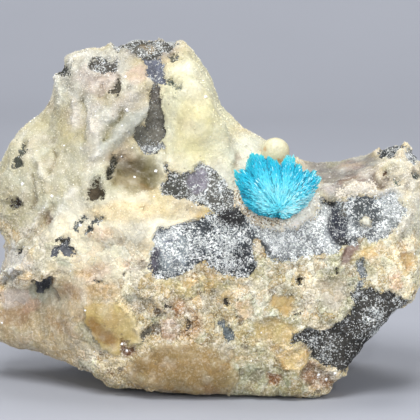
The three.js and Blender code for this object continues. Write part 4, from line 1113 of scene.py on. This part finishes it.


# The fan's rim on the show face: a blade's lean from straight up, in degrees and positive to
# the right, and how far it reaches from the root in mm; and the leans of the gaps between its
# lobes, dark by painted shade, with their half-width.
FAN_RIM = np.array([
    (-180, 0.8), (-146, 0.8), (-120, 1.3), (-104, 2.0), (-93, 3.1), (-79, 4.6), (-68, 5.5),
    (-58, 6.4), (-54, 7.2), (-48, 7.8), (-42, 8.0), (-37, 7.4), (-32, 7.9), (-27, 8.7), (-20, 8.4),
    (-11, 7.6), (-5, 7.0), (2, 6.4), (8, 7.3), (14, 7.5), (19, 7.0), (27, 6.7), (32, 6.6),
    (41, 7.2), (47, 7.3), (52, 7.0), (61, 5.5), (70, 4.5), (80, 3.4), (98, 1.9), (125, 1.5),
    (150, 1.1), (180, 0.8)])
FAN_GAPS = (-64, -37, -14, 3, 21, 31, 39, 49)
GAP_HALF = 1.8

# The fan's long blades stand in tufts: how many blades and tufts, the leans of the outermost tufts
# and how far blades stray from their tuft, in degrees, the width in degrees of its lobes and what
# these add in reach and tilt, the step from the root at the back to the root of the frontmost, the
# tilt towards the viewer of the hindmost, the frontmost and those that lean to the side, in
# degrees, the reach of the first two against the rim's, the reach in mm that none is shortened
# below, how far blades start to the side of the root and above it at a lean of 90 degrees, and
# how far these starts stray. Then what chance gives each tuft: its tilt in degrees, its reach
# against the others' and that of each blade in it, and its tone; what a lobe adds to a tone, and
# what a gap takes from the reach, and the painted shade it lays on the tone.
LONG_COUNT = 6000
TUFT_COUNT = 520
TUFT_LEANS = (-104, 98)
TUFT_SPREAD = 1.3
LOBE_WIDTH = 15.0
LOBE_REACH = 0.03
LOBE_TILT = 5.0
FRONT_STEP = np.array([0.0, -3.0, 0.5])
BACK_TILT = -14.0
FRONT_TILT = 6.0
SIDE_TILT = 6.0
BACK_REACH = 1.06
FRONT_REACH = 0.42
SHORTEST = 2.2
START_ASIDE = 1.9
START_ABOVE = 0.4
START_STRAY = np.array([0.25, 0.2, 0.25])
TUFT_TILT = 2.5
TUFT_REACH = (0.975, 1.02)
BLADE_REACH = (0.97, 1.0)
TUFT_TONE = (0.55, 0.1)
LOBE_TONE = 0.12
GAP_REACH = 0.06
GAP_SHADE = 0.55

# Its short blades: how many, how much further than the long ones they tilt towards the viewer,
# and how much more under the root and in the heart of the fan, how far out that heart reaches
# and what share of them stands in it, how far their lean strays from the long ones', all angles
# in degrees, their length in mm and the least of it, and their tone, how much more chance parts
# their tones than the long ones', and the painted shade that a gap lays on them.
SHORT_COUNT = 4200
SHORT_TILT = (2.0, 20.0)
UNDER_TILT = 25.0
HEART_TILT = 30.0
HEART_REACH = 0.14
HEART_SHARE = 0.06
SHORT_STRAY = 7.0
SHORT_LENGTH = (0.4, 1.3)
SHORTEST_SHORT = 0.3
SHORT_TONE = 0.6
SHORT_STREAKS = 1.3
SHORT_GAP_SHADE = 0.5

# Every blade's width in mm, its thickness against that, where along it the start and the shoulder
# lie, and how far it rolls by chance, in radians.
BLADE_WIDTH = (0.07, 0.19)
BLADE_THICKNESS = 0.45
BLADE_START = 0.1
BLADE_SHOULDER = 0.94
BLADE_ROLL = 0.3

# A blade's corners: how far along it each lies, how wide the blade is there, and its place across
# and through it. Then its faces, from the flat edge at the start to the top.
DIAMOND = [(0.5, 0.0), (0.0, 0.5), (-0.5, 0.0), (0.0, -0.5)]
BLADE_CORNERS = np.array([(BLADE_START, 0.7, x, 0.0) for x in (0.5, 0.0, -0.5)]
                         + [(BLADE_SHOULDER, 1.0, x, y) for x, y in DIAMOND]
                         + [(1.0, 0.75, x, y) for x, y in DIAMOND])
BLADE_FACES = np.array([[0, 1, 4, 3], [1, 2, 5, 4], [2, 1, 6, 5], [1, 0, 3, 6],
                        [3, 4, 8, 7], [4, 5, 9, 8], [5, 6, 10, 9], [6, 3, 7, 10], [7, 8, 9, 10]])

# Silk: finer threads than these blades cover the fan's face, and all of them catch the light
# together, so the blades' normals are drawn by this share towards the way that the fan faces.
SILK = 0.27
FACING = np.array([-0.1, -0.75, 0.65])


def directions(lean, tilt):
    """Unit directions at a lean to the right from straight up and a tilt towards the viewer."""
    lean, tilt = np.radians(lean), np.radians(tilt)
    return np.stack([np.sin(lean) * np.cos(tilt), -np.sin(tilt), np.cos(lean) * np.cos(tilt)], 1)


def fan_tilt(lean, share):
    """The tilt of blades by their lean and by how far to the front they start."""
    upright = np.maximum(np.cos(np.radians(lean)), 0)
    return blend(SIDE_TILT, BACK_TILT + (FRONT_TILT - BACK_TILT) * share, upright)


def in_gap(lean):
    """1 in the middle of a gap between lobes, and less to its sides as a bell curve."""
    return sum(np.exp(-(((lean - gap) / GAP_HALF) ** 2)) for gap in FAN_GAPS)


def lean_light_and_shade(lean):
    """What the lean adds to a blade's tone as painted light and shade: the fan is paler on its
    right, and deeper blue on its far left and underneath."""
    return (0.06 * smooth(-20, 10, lean) + 0.1 * smooth(14, 24, lean) + 0.36 * smooth(50, 64, lean)
            - 0.2 * smooth(72, 84, -lean) - 0.5 * smooth(90, 125, np.abs(lean)))


def streakiness(lean):
    """How far chance parts the tones of neighbouring blades: most to the right."""
    return 0.12 + 0.14 * smooth(18, 40, lean)


def long_blades(draw):
    """Starts and ends of the long blades, how far out each start and end is against the rim, and
    tones. A blade's end lies from the root along its lean and tilt by its reach, and its start
    beside the root on the side that it leans to. The blades of a tuft nearly share all that, and
    slow waves part the tufts into lobes. The nearer a blade starts to the viewer, the shorter."""
    count = LONG_COUNT
    tuft = draw.integers(0, TUFT_COUNT, count)
    tuft_share = draw.beta(0.75, 1.15, TUFT_COUNT)
    tuft_lean = np.linspace(*TUFT_LEANS, TUFT_COUNT) * (1 + 0.6 * tuft_share**2)
    share = np.clip(tuft_share[tuft] + draw.normal(0, 0.02, count), 0, 1)
    lean = tuft_lean[tuft] + draw.normal(0, TUFT_SPREAD, count)
    lobe = waves(np.stack([lean / LOBE_WIDTH, share * 2.5, np.zeros(count)], axis=1), 1.0, 201)
    gap = in_gap(lean + 3 * lobe)
    rim = np.interp(lean, *FAN_RIM.T)
    reach = rim * (BACK_REACH + (FRONT_REACH - BACK_REACH) * share)
    reach = np.maximum(reach, np.minimum(rim, SHORTEST))
    reach *= 1 + LOBE_REACH * lobe - GAP_REACH * gap
    reach *= draw.uniform(*TUFT_REACH, TUFT_COUNT)[tuft] * draw.uniform(*BLADE_REACH, count)
    tilt = fan_tilt(lean, share) + LOBE_TILT * lobe + draw.normal(0, TUFT_TILT, TUFT_COUNT)[tuft]
    heart = ROOT + share[:, None] * FRONT_STEP
    aside = np.sin(np.radians(lean)) * START_ASIDE
    above = (1 - np.cos(np.radians(lean))) * START_ABOVE
    starts = heart + np.stack([aside, np.zeros(count), above], axis=1)
    starts += draw.uniform(-1, 1, (count, 3)) * START_STRAY
    ends = heart + directions(lean, tilt) * reach[:, None]
    tones = draw.normal(*TUFT_TONE, TUFT_COUNT)[tuft] + draw.normal(0, 1, count) * streakiness(lean)
    # Painted shade in the gaps between lobes, and painted light and shade by the lean.
    tones += LOBE_TONE * lobe - GAP_SHADE * gap + lean_light_and_shade(lean)
    return starts, ends, np.full(count, 0.1), reach / rim, tones


def short_blades(draw):
    """The same for the short ones, which stand all over the face of the fan, where the long ones
    end, and tilt further towards the viewer, most in its heart. More start where the rim is far
    from the root, and none reaches past the rim."""
    count = SHORT_COUNT
    leans = np.arange(-180, 180)
    odds = np.interp(leans, *FAN_RIM.T) ** 1.5
    lean = draw.choice(leans, count, p=odds / odds.sum()) + draw.uniform(0, 1, count)
    rim = np.interp(lean, *FAN_RIM.T)
    in_heart = draw.uniform(0, 1, count) < HEART_SHARE
    out = np.where(in_heart, draw.uniform(0, HEART_REACH, count),
                   np.sqrt(draw.uniform(0.02, 0.82, count)))
    share = np.clip((1 - out) / (1 - FRONT_REACH), 0, 1)
    along = directions(lean, fan_tilt(lean, share))
    starts = ROOT + share[:, None] * FRONT_STEP + along * (out * 0.95 * rim)[:, None]
    tilt = fan_tilt(lean, share) + draw.uniform(*SHORT_TILT, count) + HEART_TILT * in_heart
    tilt += UNDER_TILT * smooth(95, 130, np.abs(lean))
    turned = directions(lean + draw.normal(0, SHORT_STRAY, count), tilt)
    length = np.minimum(draw.uniform(*SHORT_LENGTH, count), rim * (1.03 - 0.95 * out))
    ends = starts + turned * np.maximum(length, SHORTEST_SHORT)[:, None]
    tones = SHORT_TONE + draw.normal(0, SHORT_STREAKS, count) * streakiness(lean)
    # Painted light and shade by the lean, and painted shade in the gaps.
    tones += lean_light_and_shade(lean) - SHORT_GAP_SHADE * in_gap(lean)
    return starts, ends, out, out * 0.97, tones


def fan_blades(material):
    """All blades as one mesh. A blade runs straight from its start to its end: it begins as a flat
    edge of three points, its section is then a diamond, widest at the shoulder, and its top is a
    slanted chisel. Its normals point from the blade's middle line through its corners, and by
    SILK the way the fan faces."""
    draw = np.random.default_rng(SEED + 2)
    kinds = zip(long_blades(draw), short_blades(draw))
    starts, ends, out_start, out_end, tones = (np.concatenate(pair) for pair in kinds)
    count = len(starts)
    length = np.linalg.norm(ends - starts, axis=1)
    along = (ends - starts) / length[:, None]
    side = np.stack([along[:, 2], np.zeros(count), -along[:, 0]], axis=1)
    side /= np.linalg.norm(side, axis=1)[:, None]
    roll = draw.normal(0, BLADE_ROLL, count)[:, None]
    across = side * np.cos(roll) + np.cross(along, side) * np.sin(roll)
    depth = np.cross(along, across)
    width = draw.uniform(*BLADE_WIDTH, count)
    slant = draw.uniform(-1, 1, count)
    points, normals = [], []
    for far, wide, x, y in BLADE_CORNERS:
        tip = width * slant * x * 0.9 if far == 1.0 else 0
        points.append(starts + along * (length * far + tip)[:, None]
                      + across * (x * wide * width)[:, None]
                      + depth * (y * wide * width * BLADE_THICKNESS)[:, None])
        normals.append(across * x + depth * y + SILK * FACING)
    points = np.stack(points, axis=1)
    normals = np.stack(normals, axis=1).reshape(-1, 3)
    firsts = np.arange(count)[:, None, None] * len(BLADE_CORNERS)
    mesh = bpy.data.meshes.new("cavansite_blades")
    mesh.from_pydata(points.reshape(-1, 3) * MM, [], (BLADE_FACES[None] + firsts).reshape(-1, 4))
    far = BLADE_CORNERS[:, 0]
    give(mesh, "outward", (out_start[:, None] * (1 - far) + out_end[:, None] * far).ravel())
    give(mesh, "blade_tone", np.repeat(np.clip(tones, 0, 1), len(BLADE_CORNERS)))
    mesh.normals_split_custom_set_from_vertices(normals / np.linalg.norm(normals, axis=1)[:, None])
    mesh.materials.append(material)
    return put("cavansite_blades", mesh)


def add(tree, kind, inputs=None, out=0, stops=None, **settings):
    """Adds a shader node and gives its output `out`. settings are its own properties, stops a
    colour ramp's places and colours, and inputs its sockets, each with a value or with the
    output that feeds it."""
    node = tree.nodes.new("ShaderNode" + kind)
    for name, value in settings.items():
        setattr(node, name, value)
    for name, value in (inputs or {}).items():
        if isinstance(value, bpy.types.NodeSocket):
            tree.links.new(value, node.inputs[name])
        else:
            node.inputs[name].default_value = value
    if stops:
        ramp = node.color_ramp.elements
        while len(ramp) < len(stops):
            ramp.new(0.5)
        for element, (place, colour) in zip(ramp, stops):
            element.position = place
            element.color = rgba(colour)
    return node.outputs[out] if node.outputs else node


def new_material(name):
    material = bpy.data.materials.new(name)
    material.use_nodes = True
    material.node_tree.nodes.clear()
    return material, material.node_tree


def per(size):
    """The scale of a pattern whose features are `size` mm wide, on Object coordinates in metres."""
    return 1 / (size * MM)


def crust_colour(tree, place, clump, grain, shade, patchwork):
    """The crust's own tone, clouded by clump and grained by grain. Where patchwork is high it is
    grown from lumps of 1.5 mm, in bent outlines with pale seams, and of 0.6 mm, each grit has its
    own shade, and much of it is milky. Small dark flecks are 2.2 mm apart. Gives the distance to
    the seams too."""
    crust = add(tree, "Attribute", out="Color", attribute_name="crust_tone")
    warp = add(tree, "TexNoise", {"Vector": place, "Scale": per(1.1), "Detail": 2.0}, out="Color")
    warp = add(tree, "VectorMath", {0: warp, "Scale": 1.1 * MM}, operation="SCALE")
    bent = add(tree, "VectorMath", {0: place, 1: warp}, operation="ADD")
    lumps, pieces = (add(tree, "TexVoronoi", {"Vector": bent, "Scale": per(size)}, out="Color")
                     for size in (1.5, 0.6))
    seams = add(tree, "TexVoronoi", {"Vector": bent, "Scale": per(1.5)}, out="Distance",
                feature="DISTANCE_TO_EDGE")
    lump, piece = (add(tree, "SeparateColor", {0: cells}) for cells in (lumps, pieces))

    clouds = add(tree, "MapRange", {0: clump, 1: 0.3, 2: 0.7, 3: 0.83, 4: 1.02})
    darkest, lightest, darkest_grit, lightest_grit, sugar = (
        add(tree, "MapRange", {0: patchwork, 1: 0.2, 2: 0.9, 3: plain, 4: patched})
        for plain, patched in (
            (0.93, 0.62), (1.05, 1.22), (0.98, 0.78), (1.02, 1.2), (0.06, 0.75)))
    grains = add(tree, "MapRange", {0: grain, 1: 0.35, 2: 0.65, 3: darkest, 4: lightest})
    grit = add(tree, "MapRange", {0: shade, 3: darkest_grit, 4: lightest_grit})
    light = add(tree, "Math", {0: clouds, 1: grains}, operation="MULTIPLY")
    light = add(tree, "Math", {0: light, 1: grit}, operation="MULTIPLY")
    cream = add(tree, "VectorMath", {0: crust, 1: light}, operation="MULTIPLY")

    kinds = add(tree, "ValToRGB", {0: lump}, stops=[
        (0.0, "#BFA47C"), (0.1, "#E8D5A6"), (0.26, "#F6E4CE"), (0.4, "#FFFFFF"),
        (0.6, "#FFFFFF"), (0.74, "#E2E8D8"), (0.9, "#D8CFC4"), (1.0, "#FFFFFF")])
    kinds = add(tree, "VectorMath", {0: kinds, "Scale": 1.2}, operation="SCALE")
    shades = add(tree, "MapRange", {0: piece, 3: 0.8, 4: 1.16})
    seam = add(tree, "ValToRGB", {0: seams}, stops=[
        (0.0, "#978C74"), (0.04, "#FAF8F0"), (0.1, "#FFFFFF"), (0.22, "#E9E6DC"), (1.0, "#E4E0D4")])
    seam = add(tree, "VectorMath", {0: seam, "Scale": 1.2}, operation="SCALE")
    patched = cream
    for layer in (kinds, shades, seam):
        patched = add(tree, "VectorMath", {0: patched, 1: layer}, operation="MULTIPLY")

    milk = add(tree, "MapRange", {0: grain, 1: 0.52, 2: 0.64, 3: 0.0, 4: sugar})
    flecks = add(tree, "TexVoronoi", {"Vector": place, "Scale": per(2.2)}, out="Distance")
    fleck = add(tree, "MapRange", {0: flecks, 1: 0.04, 2: 0.1, 3: 0.6, 4: 0.0})
    for share, over in ((patchwork, patched), (milk, rgba("#F7F4EA")), (fleck, rgba("#6B5A45"))):
        cream = add(tree, "Mix", {0: share, 6: cream, 7: over}, out=2, data_type="RGBA")
    return cream, seams


def stone_colour(tree, clump, grain, speck, shade, fray, ragged):
    """The basalt's own tone, dull and dark, with painted shade that darkens it most along its edge,
    where the crust stands over it. Over it lie pale specks, each of its own shade. The dust says
    how many, and they drift together where grain and clump are high."""
    stone = add(tree, "Attribute", out="Color", attribute_name="stone_tone")
    dust = add(tree, "Attribute", out="Fac", attribute_name="dust")
    # Painted shade along the stone's edge, where the crust stands over it.
    painted_edge_shade = add(tree, "MapRange", {0: ragged, 1: 0.0, 2: 0.35, 3: 0.45, 4: 1.0})
    pepper = add(tree, "MapRange", {0: grain, 1: 0.3, 2: 0.7, 3: 0.65, 4: 1.3})
    pepper = add(tree, "Math", {0: pepper, 1: painted_edge_shade}, operation="MULTIPLY")
    rock = add(tree, "VectorMath", {0: stone, 1: pepper}, operation="MULTIPLY")
    salt_tone = add(tree, "ValToRGB", {0: shade}, stops=[
        (0.0, "#6C7172"), (0.22, "#B6BBBA"), (0.45, "#F2F5F2"), (1.0, "#FFFFFC")])
    dulled = add(tree, "MapRange", {0: dust, 1: 0.15, 2: 0.6, 3: 0.55, 4: 1.0})
    salt_tone = add(tree, "VectorMath", {0: salt_tone, 1: dulled}, operation="MULTIPLY")
    drifts = add(tree, "MapRange", {0: clump, 1: 0.35, 2: 0.65, 3: -0.5, 4: 0.5})
    drifts = add(tree, "Math", {0: fray, 1: drifts}, operation="ADD")
    thick = add(tree, "MapRange", {0: dust, 1: 0.0, 2: 0.4})
    drifts = add(tree, "Math", {0: drifts, 1: thick}, operation="MULTIPLY")
    cover = add(tree, "Math", {0: dust, 1: drifts}, operation="ADD")
    salty = add(tree, "Math", {0: speck, 1: cover}, operation="SUBTRACT")
    salt = add(tree, "MapRange", {0: salty, 1: -0.4, 2: 0.04, 3: 1.0, 4: 0.0})
    return add(tree, "Mix", {0: salt, 6: rock, 7: salt_tone}, out=2, data_type="RGBA")


def zeolite_on_basalt():
    """Heulandite and stilbite crust, cream and a little see-through in its outer skin, on broken
    fine-grained basalt. The crust gives a soft waxy glow and the stone is dull. Clumps are 1.3 mm
    wide and grains 0.4 mm, and grit and specks 0.19 mm, twice the true grain so that they show in
    the render."""
    material, tree = new_material("zeolite_crust_on_basalt")
    place = add(tree, "TexCoord", out="Object")
    depth, calm, patchwork = (add(tree, "Attribute", out="Fac", attribute_name=name)
                              for name in ("bare_depth", "calm", "patchwork"))
    clump, grain = (
        add(tree, "TexNoise", {"Vector": place, "Scale": per(size), "Detail": detail,
                               "Roughness": roughness})
        for size, detail, roughness in ((1.3, 4.0, 0.65), (0.4, 3.0, 0.7)))
    cells = add(tree, "TexVoronoi", {"Vector": place, "Scale": per(0.19)}, out="Color")
    speck, shade = (add(tree, "SeparateColor", {0: cells}, out=number) for number in (0, 1))
    fray, drift = (add(tree, "MapRange", {0: pattern, 1: 0.33, 2: 0.67, 3: -0.3, 4: 0.3})
                   for pattern in (grain, clump))
    ragged = add(tree, "Math", {0: depth, 1: fray}, operation="ADD")
    ragged = add(tree, "Math", {0: ragged, 1: drift}, operation="ADD")
    bare = add(tree, "MapRange", {0: ragged, 1: -0.06, 2: 0.06})
    cream, seams = crust_colour(tree, place, clump, grain, shade, patchwork)
    rock = stone_colour(tree, clump, grain, speck, shade, fray, ragged)
    colour = add(tree, "Mix", {0: bare, 6: cream, 7: rock}, out=2, data_type="RGBA")

    waxy = add(tree, "MapRange", {0: calm, 3: 0.5, 4: 0.32})
    rough = add(tree, "MapRange", {0: bare, 3: waxy, 4: 0.7})
    lifted = add(tree, "MapRange", {0: seams, 1: 0.0, 2: 0.14, 3: 0.0, 4: patchwork})
    relief = add(tree, "Math", {0: grain, 1: speck}, operation="ADD")
    relief = add(tree, "Math", {0: relief, 1: lifted}, operation="ADD")
    worn = add(tree, "MapRange", {0: calm, 3: 1.0, 4: 0.45})
    worn = add(tree, "Math", {0: worn, 1: bare}, operation="MAXIMUM")
    relief = add(tree, "Math", {0: relief, 1: worn}, operation="MULTIPLY")
    bump = add(tree, "Bump", {"Height": relief, "Distance": 0.1 * MM, "Strength": 0.85})
    shader = add(tree, "BsdfPrincipled", {
        "Base Color": colour, "Roughness": rough, "Normal": bump, "IOR": 1.5,
        "Subsurface Weight": 0.1, "Subsurface Radius": (1.0, 0.8, 0.5),
        "Subsurface Scale": 0.5 * MM})
    add(tree, "OutputMaterial", {"Surface": shader})
    return material


def druse_grains():
    """Loose-standing zeolite crystals, grown in the open, so each face is flat and glassy: pale,
    with small bright glints."""
    material, tree = new_material("zeolite_druse_crystals")
    crust = add(tree, "Attribute", out="Color", attribute_name="crust_tone")
    place = add(tree, "TexCoord", out="Object")
    fine = add(tree, "TexNoise", {"Vector": place, "Scale": per(0.3), "Detail": 2.0})
    light = add(tree, "MapRange", {0: fine, 1: 0.3, 2: 0.7, 3: 0.88, 4: 1.1})
    colour = add(tree, "VectorMath", {0: crust, 1: light}, operation="MULTIPLY")
    shader = add(tree, "BsdfPrincipled", {
        "Base Color": colour, "Roughness": 0.2, "IOR": 1.5, "Subsurface Weight": 0.1,
        "Subsurface Radius": (1.0, 0.8, 0.5), "Subsurface Scale": 0.3 * MM})
    add(tree, "OutputMaterial", {"Surface": shader})
    return material


def cavansite():
    """Cavansite, a blue vanadium silicate grown as flat laths with a glassy to pearly lustre:
    paler and silkier towards the root, deeper blue-green at the tips and on some blades. The
    blades' tone also carries painted shade, deep teal in the gaps and underneath, and painted light
    on the right; the palest blades take a painted pearly sheen."""
    material, tree = new_material("cavansite_crystal")
    outward = add(tree, "Attribute", out="Fac", attribute_name="outward")
    tone = add(tree, "Attribute", out="Fac", attribute_name="blade_tone")
    length = add(tree, "ValToRGB", {0: outward}, stops=[
        (0.1, "#74E8F8"), (0.35, "#88EAF8"), (0.52, "#58DEF4"), (0.72, "#15C4E2"),
        (0.9, "#0CBBD9"), (1.0, "#38CCDA")])
    turns = add(tree, "ValToRGB", {0: tone}, stops=[
        (0.0, "#34909E"), (0.25, "#A2DAE4"), (0.5, "#FFFFFF"), (1.0, "#FFFFFF")])
    colour = add(tree, "Mix", {0: 1.0, 6: length, 7: turns}, out=2,
                 data_type="RGBA", blend_type="MULTIPLY")
    # Painted sheen: the palest blades turn pearly white.
    pearly = add(tree, "MapRange", {0: tone, 1: 0.8, 2: 1.0, 3: 0.0, 4: 0.85})
    colour = add(tree, "Mix", {0: pearly, 6: colour, 7: rgba("#C2FAFF")}, out=2,
                 data_type="RGBA")
    shader = add(tree, "BsdfPrincipled", {
        "Base Color": colour, "Roughness": 0.35, "IOR": 1.54, "Subsurface Weight": 0.15,
        "Subsurface Radius": (0.4, 0.9, 1.0), "Subsurface Scale": 0.3 * MM})
    add(tree, "OutputMaterial", {"Surface": shader})
    return material


def paper():
    """Matte background paper, pale grey with no gloss."""
    material, tree = new_material("matte_paper")
    place = add(tree, "TexCoord", out="Object")
    cloud = add(tree, "TexNoise", {"Vector": place, "Scale": per(60), "Detail": 2.0})
    colour = add(tree, "ValToRGB", {0: cloud}, stops=[(0.3, "#A8ABB4"), (0.7, "#ABAEB7")])
    shader = add(tree, "BsdfPrincipled", {"Base Color": colour, "Roughness": 0.9})
    add(tree, "OutputMaterial", {"Surface": shader})
    return material


# The paper, in mm: where its level stretch starts and bends up, the radius and the angle of the
# bend, and half its width.
SWEEP_FRONT = -600.0
SWEEP_BEND = 260.0
SWEEP_RADIUS = 180.0
SWEEP_RISE = math.radians(62)
SWEEP_HALF_WIDTH = 900.0


def sweep():
    """Floor and backdrop in one sheet: a level stretch and then a circle's arc up to SWEEP_RISE,
    carried sideways. It is low enough to look over from behind."""
    turn = np.linspace(0, SWEEP_RISE, 20)
    y = np.concatenate([[SWEEP_FRONT], SWEEP_BEND + SWEEP_RADIUS * np.sin(turn)])
    z = np.concatenate([[0], SWEEP_RADIUS * (1 - np.cos(turn))])
    points = np.array([(x, b, c) for x in (-SWEEP_HALF_WIDTH, SWEEP_HALF_WIDTH)
                       for b, c in zip(y, z)])
    steps = len(y)
    faces = [(i, steps + i, steps + i + 1, i + 1) for i in range(steps - 1)]
    mesh = bpy.data.meshes.new("paper_sweep")
    mesh.from_pydata(points * MM, [], faces)
    mesh.polygons.foreach_set("use_smooth", np.ones(len(faces), bool))
    mesh.materials.append(paper())
    put("paper_sweep", mesh)


def lamp(name, at, size, power):
    """A square white studio lamp that looks at AIM, with its size in mm and its power in watts."""
    light = bpy.data.lights.new(name, "AREA")
    light.size = size * MM
    light.energy = power
    piece = put(name, light)
    piece.location = Vector(at) * MM
    piece.rotation_mode = "QUATERNION"
    piece.rotation_quaternion = (Vector(AIM) - Vector(at)).to_track_quat("-Z", "Y")


def studio():
    """Four soft boxes, two small lamps for glints on crystal faces, and a faint even sky."""
    lamp("key_box", (-70, -330, 580), 320, 2.96)
    lamp("low_box", (-40, -640, 60), 360, 0.55)
    lamp("fill_box", (360, -520, 240), 300, 1.15)
    lamp("top_box", (60, 140, 560), 260, 1.3)
    lamp("glint_lamp", (120, -520, 300), 14, 0.5)
    lamp("glint_lamp_left", (-330, -380, 180), 14, 0.35)
    world = bpy.data.worlds.new("studio")
    world.use_nodes = True
    world.node_tree.nodes["Background"].inputs["Color"].default_value = rgba("#E6E9F0")
    world.node_tree.nodes["Background"].inputs["Strength"].default_value = 0.3
    bpy.context.scene.world = world
    bpy.context.scene.view_settings.view_transform = "Standard"


def camera():
    """The camera stands DISTANCE from AIM along TO_EYE, looks back at it and is held level."""
    data = bpy.data.cameras.new("camera")
    data.sensor_width = SENSOR
    data.lens = SENSOR * DISTANCE / VIEW_WIDTH
    data.clip_start = 10 * MM
    data.clip_end = 5000 * MM
    piece = put("camera", data)
    back = Vector(TO_EYE)
    piece.location = (Vector(AIM) + back * DISTANCE) * MM
    piece.rotation_mode = "QUATERNION"
    piece.rotation_quaternion = (-back).to_track_quat("-Z", "Y")
    bpy.context.scene.camera = piece


camera()
studio()
sweep()

skin = skin_object()
facts = dress_skin(skin)
skin.data.materials.append(zeolite_on_basalt())
grain_material = druse_grains()
stone_pieces = [skin, *druse(skin, facts, grain_material), stone_dust(skin, facts, grain_material),
                foot_crystals(skin, facts, grain_material), sparkles(skin, facts, grain_material)]
for piece in stone_pieces:
    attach(piece, "root")
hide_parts("matrix_block")

blades = fan_blades(cavansite())
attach(blades, "root")
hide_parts("cavansite_fan")
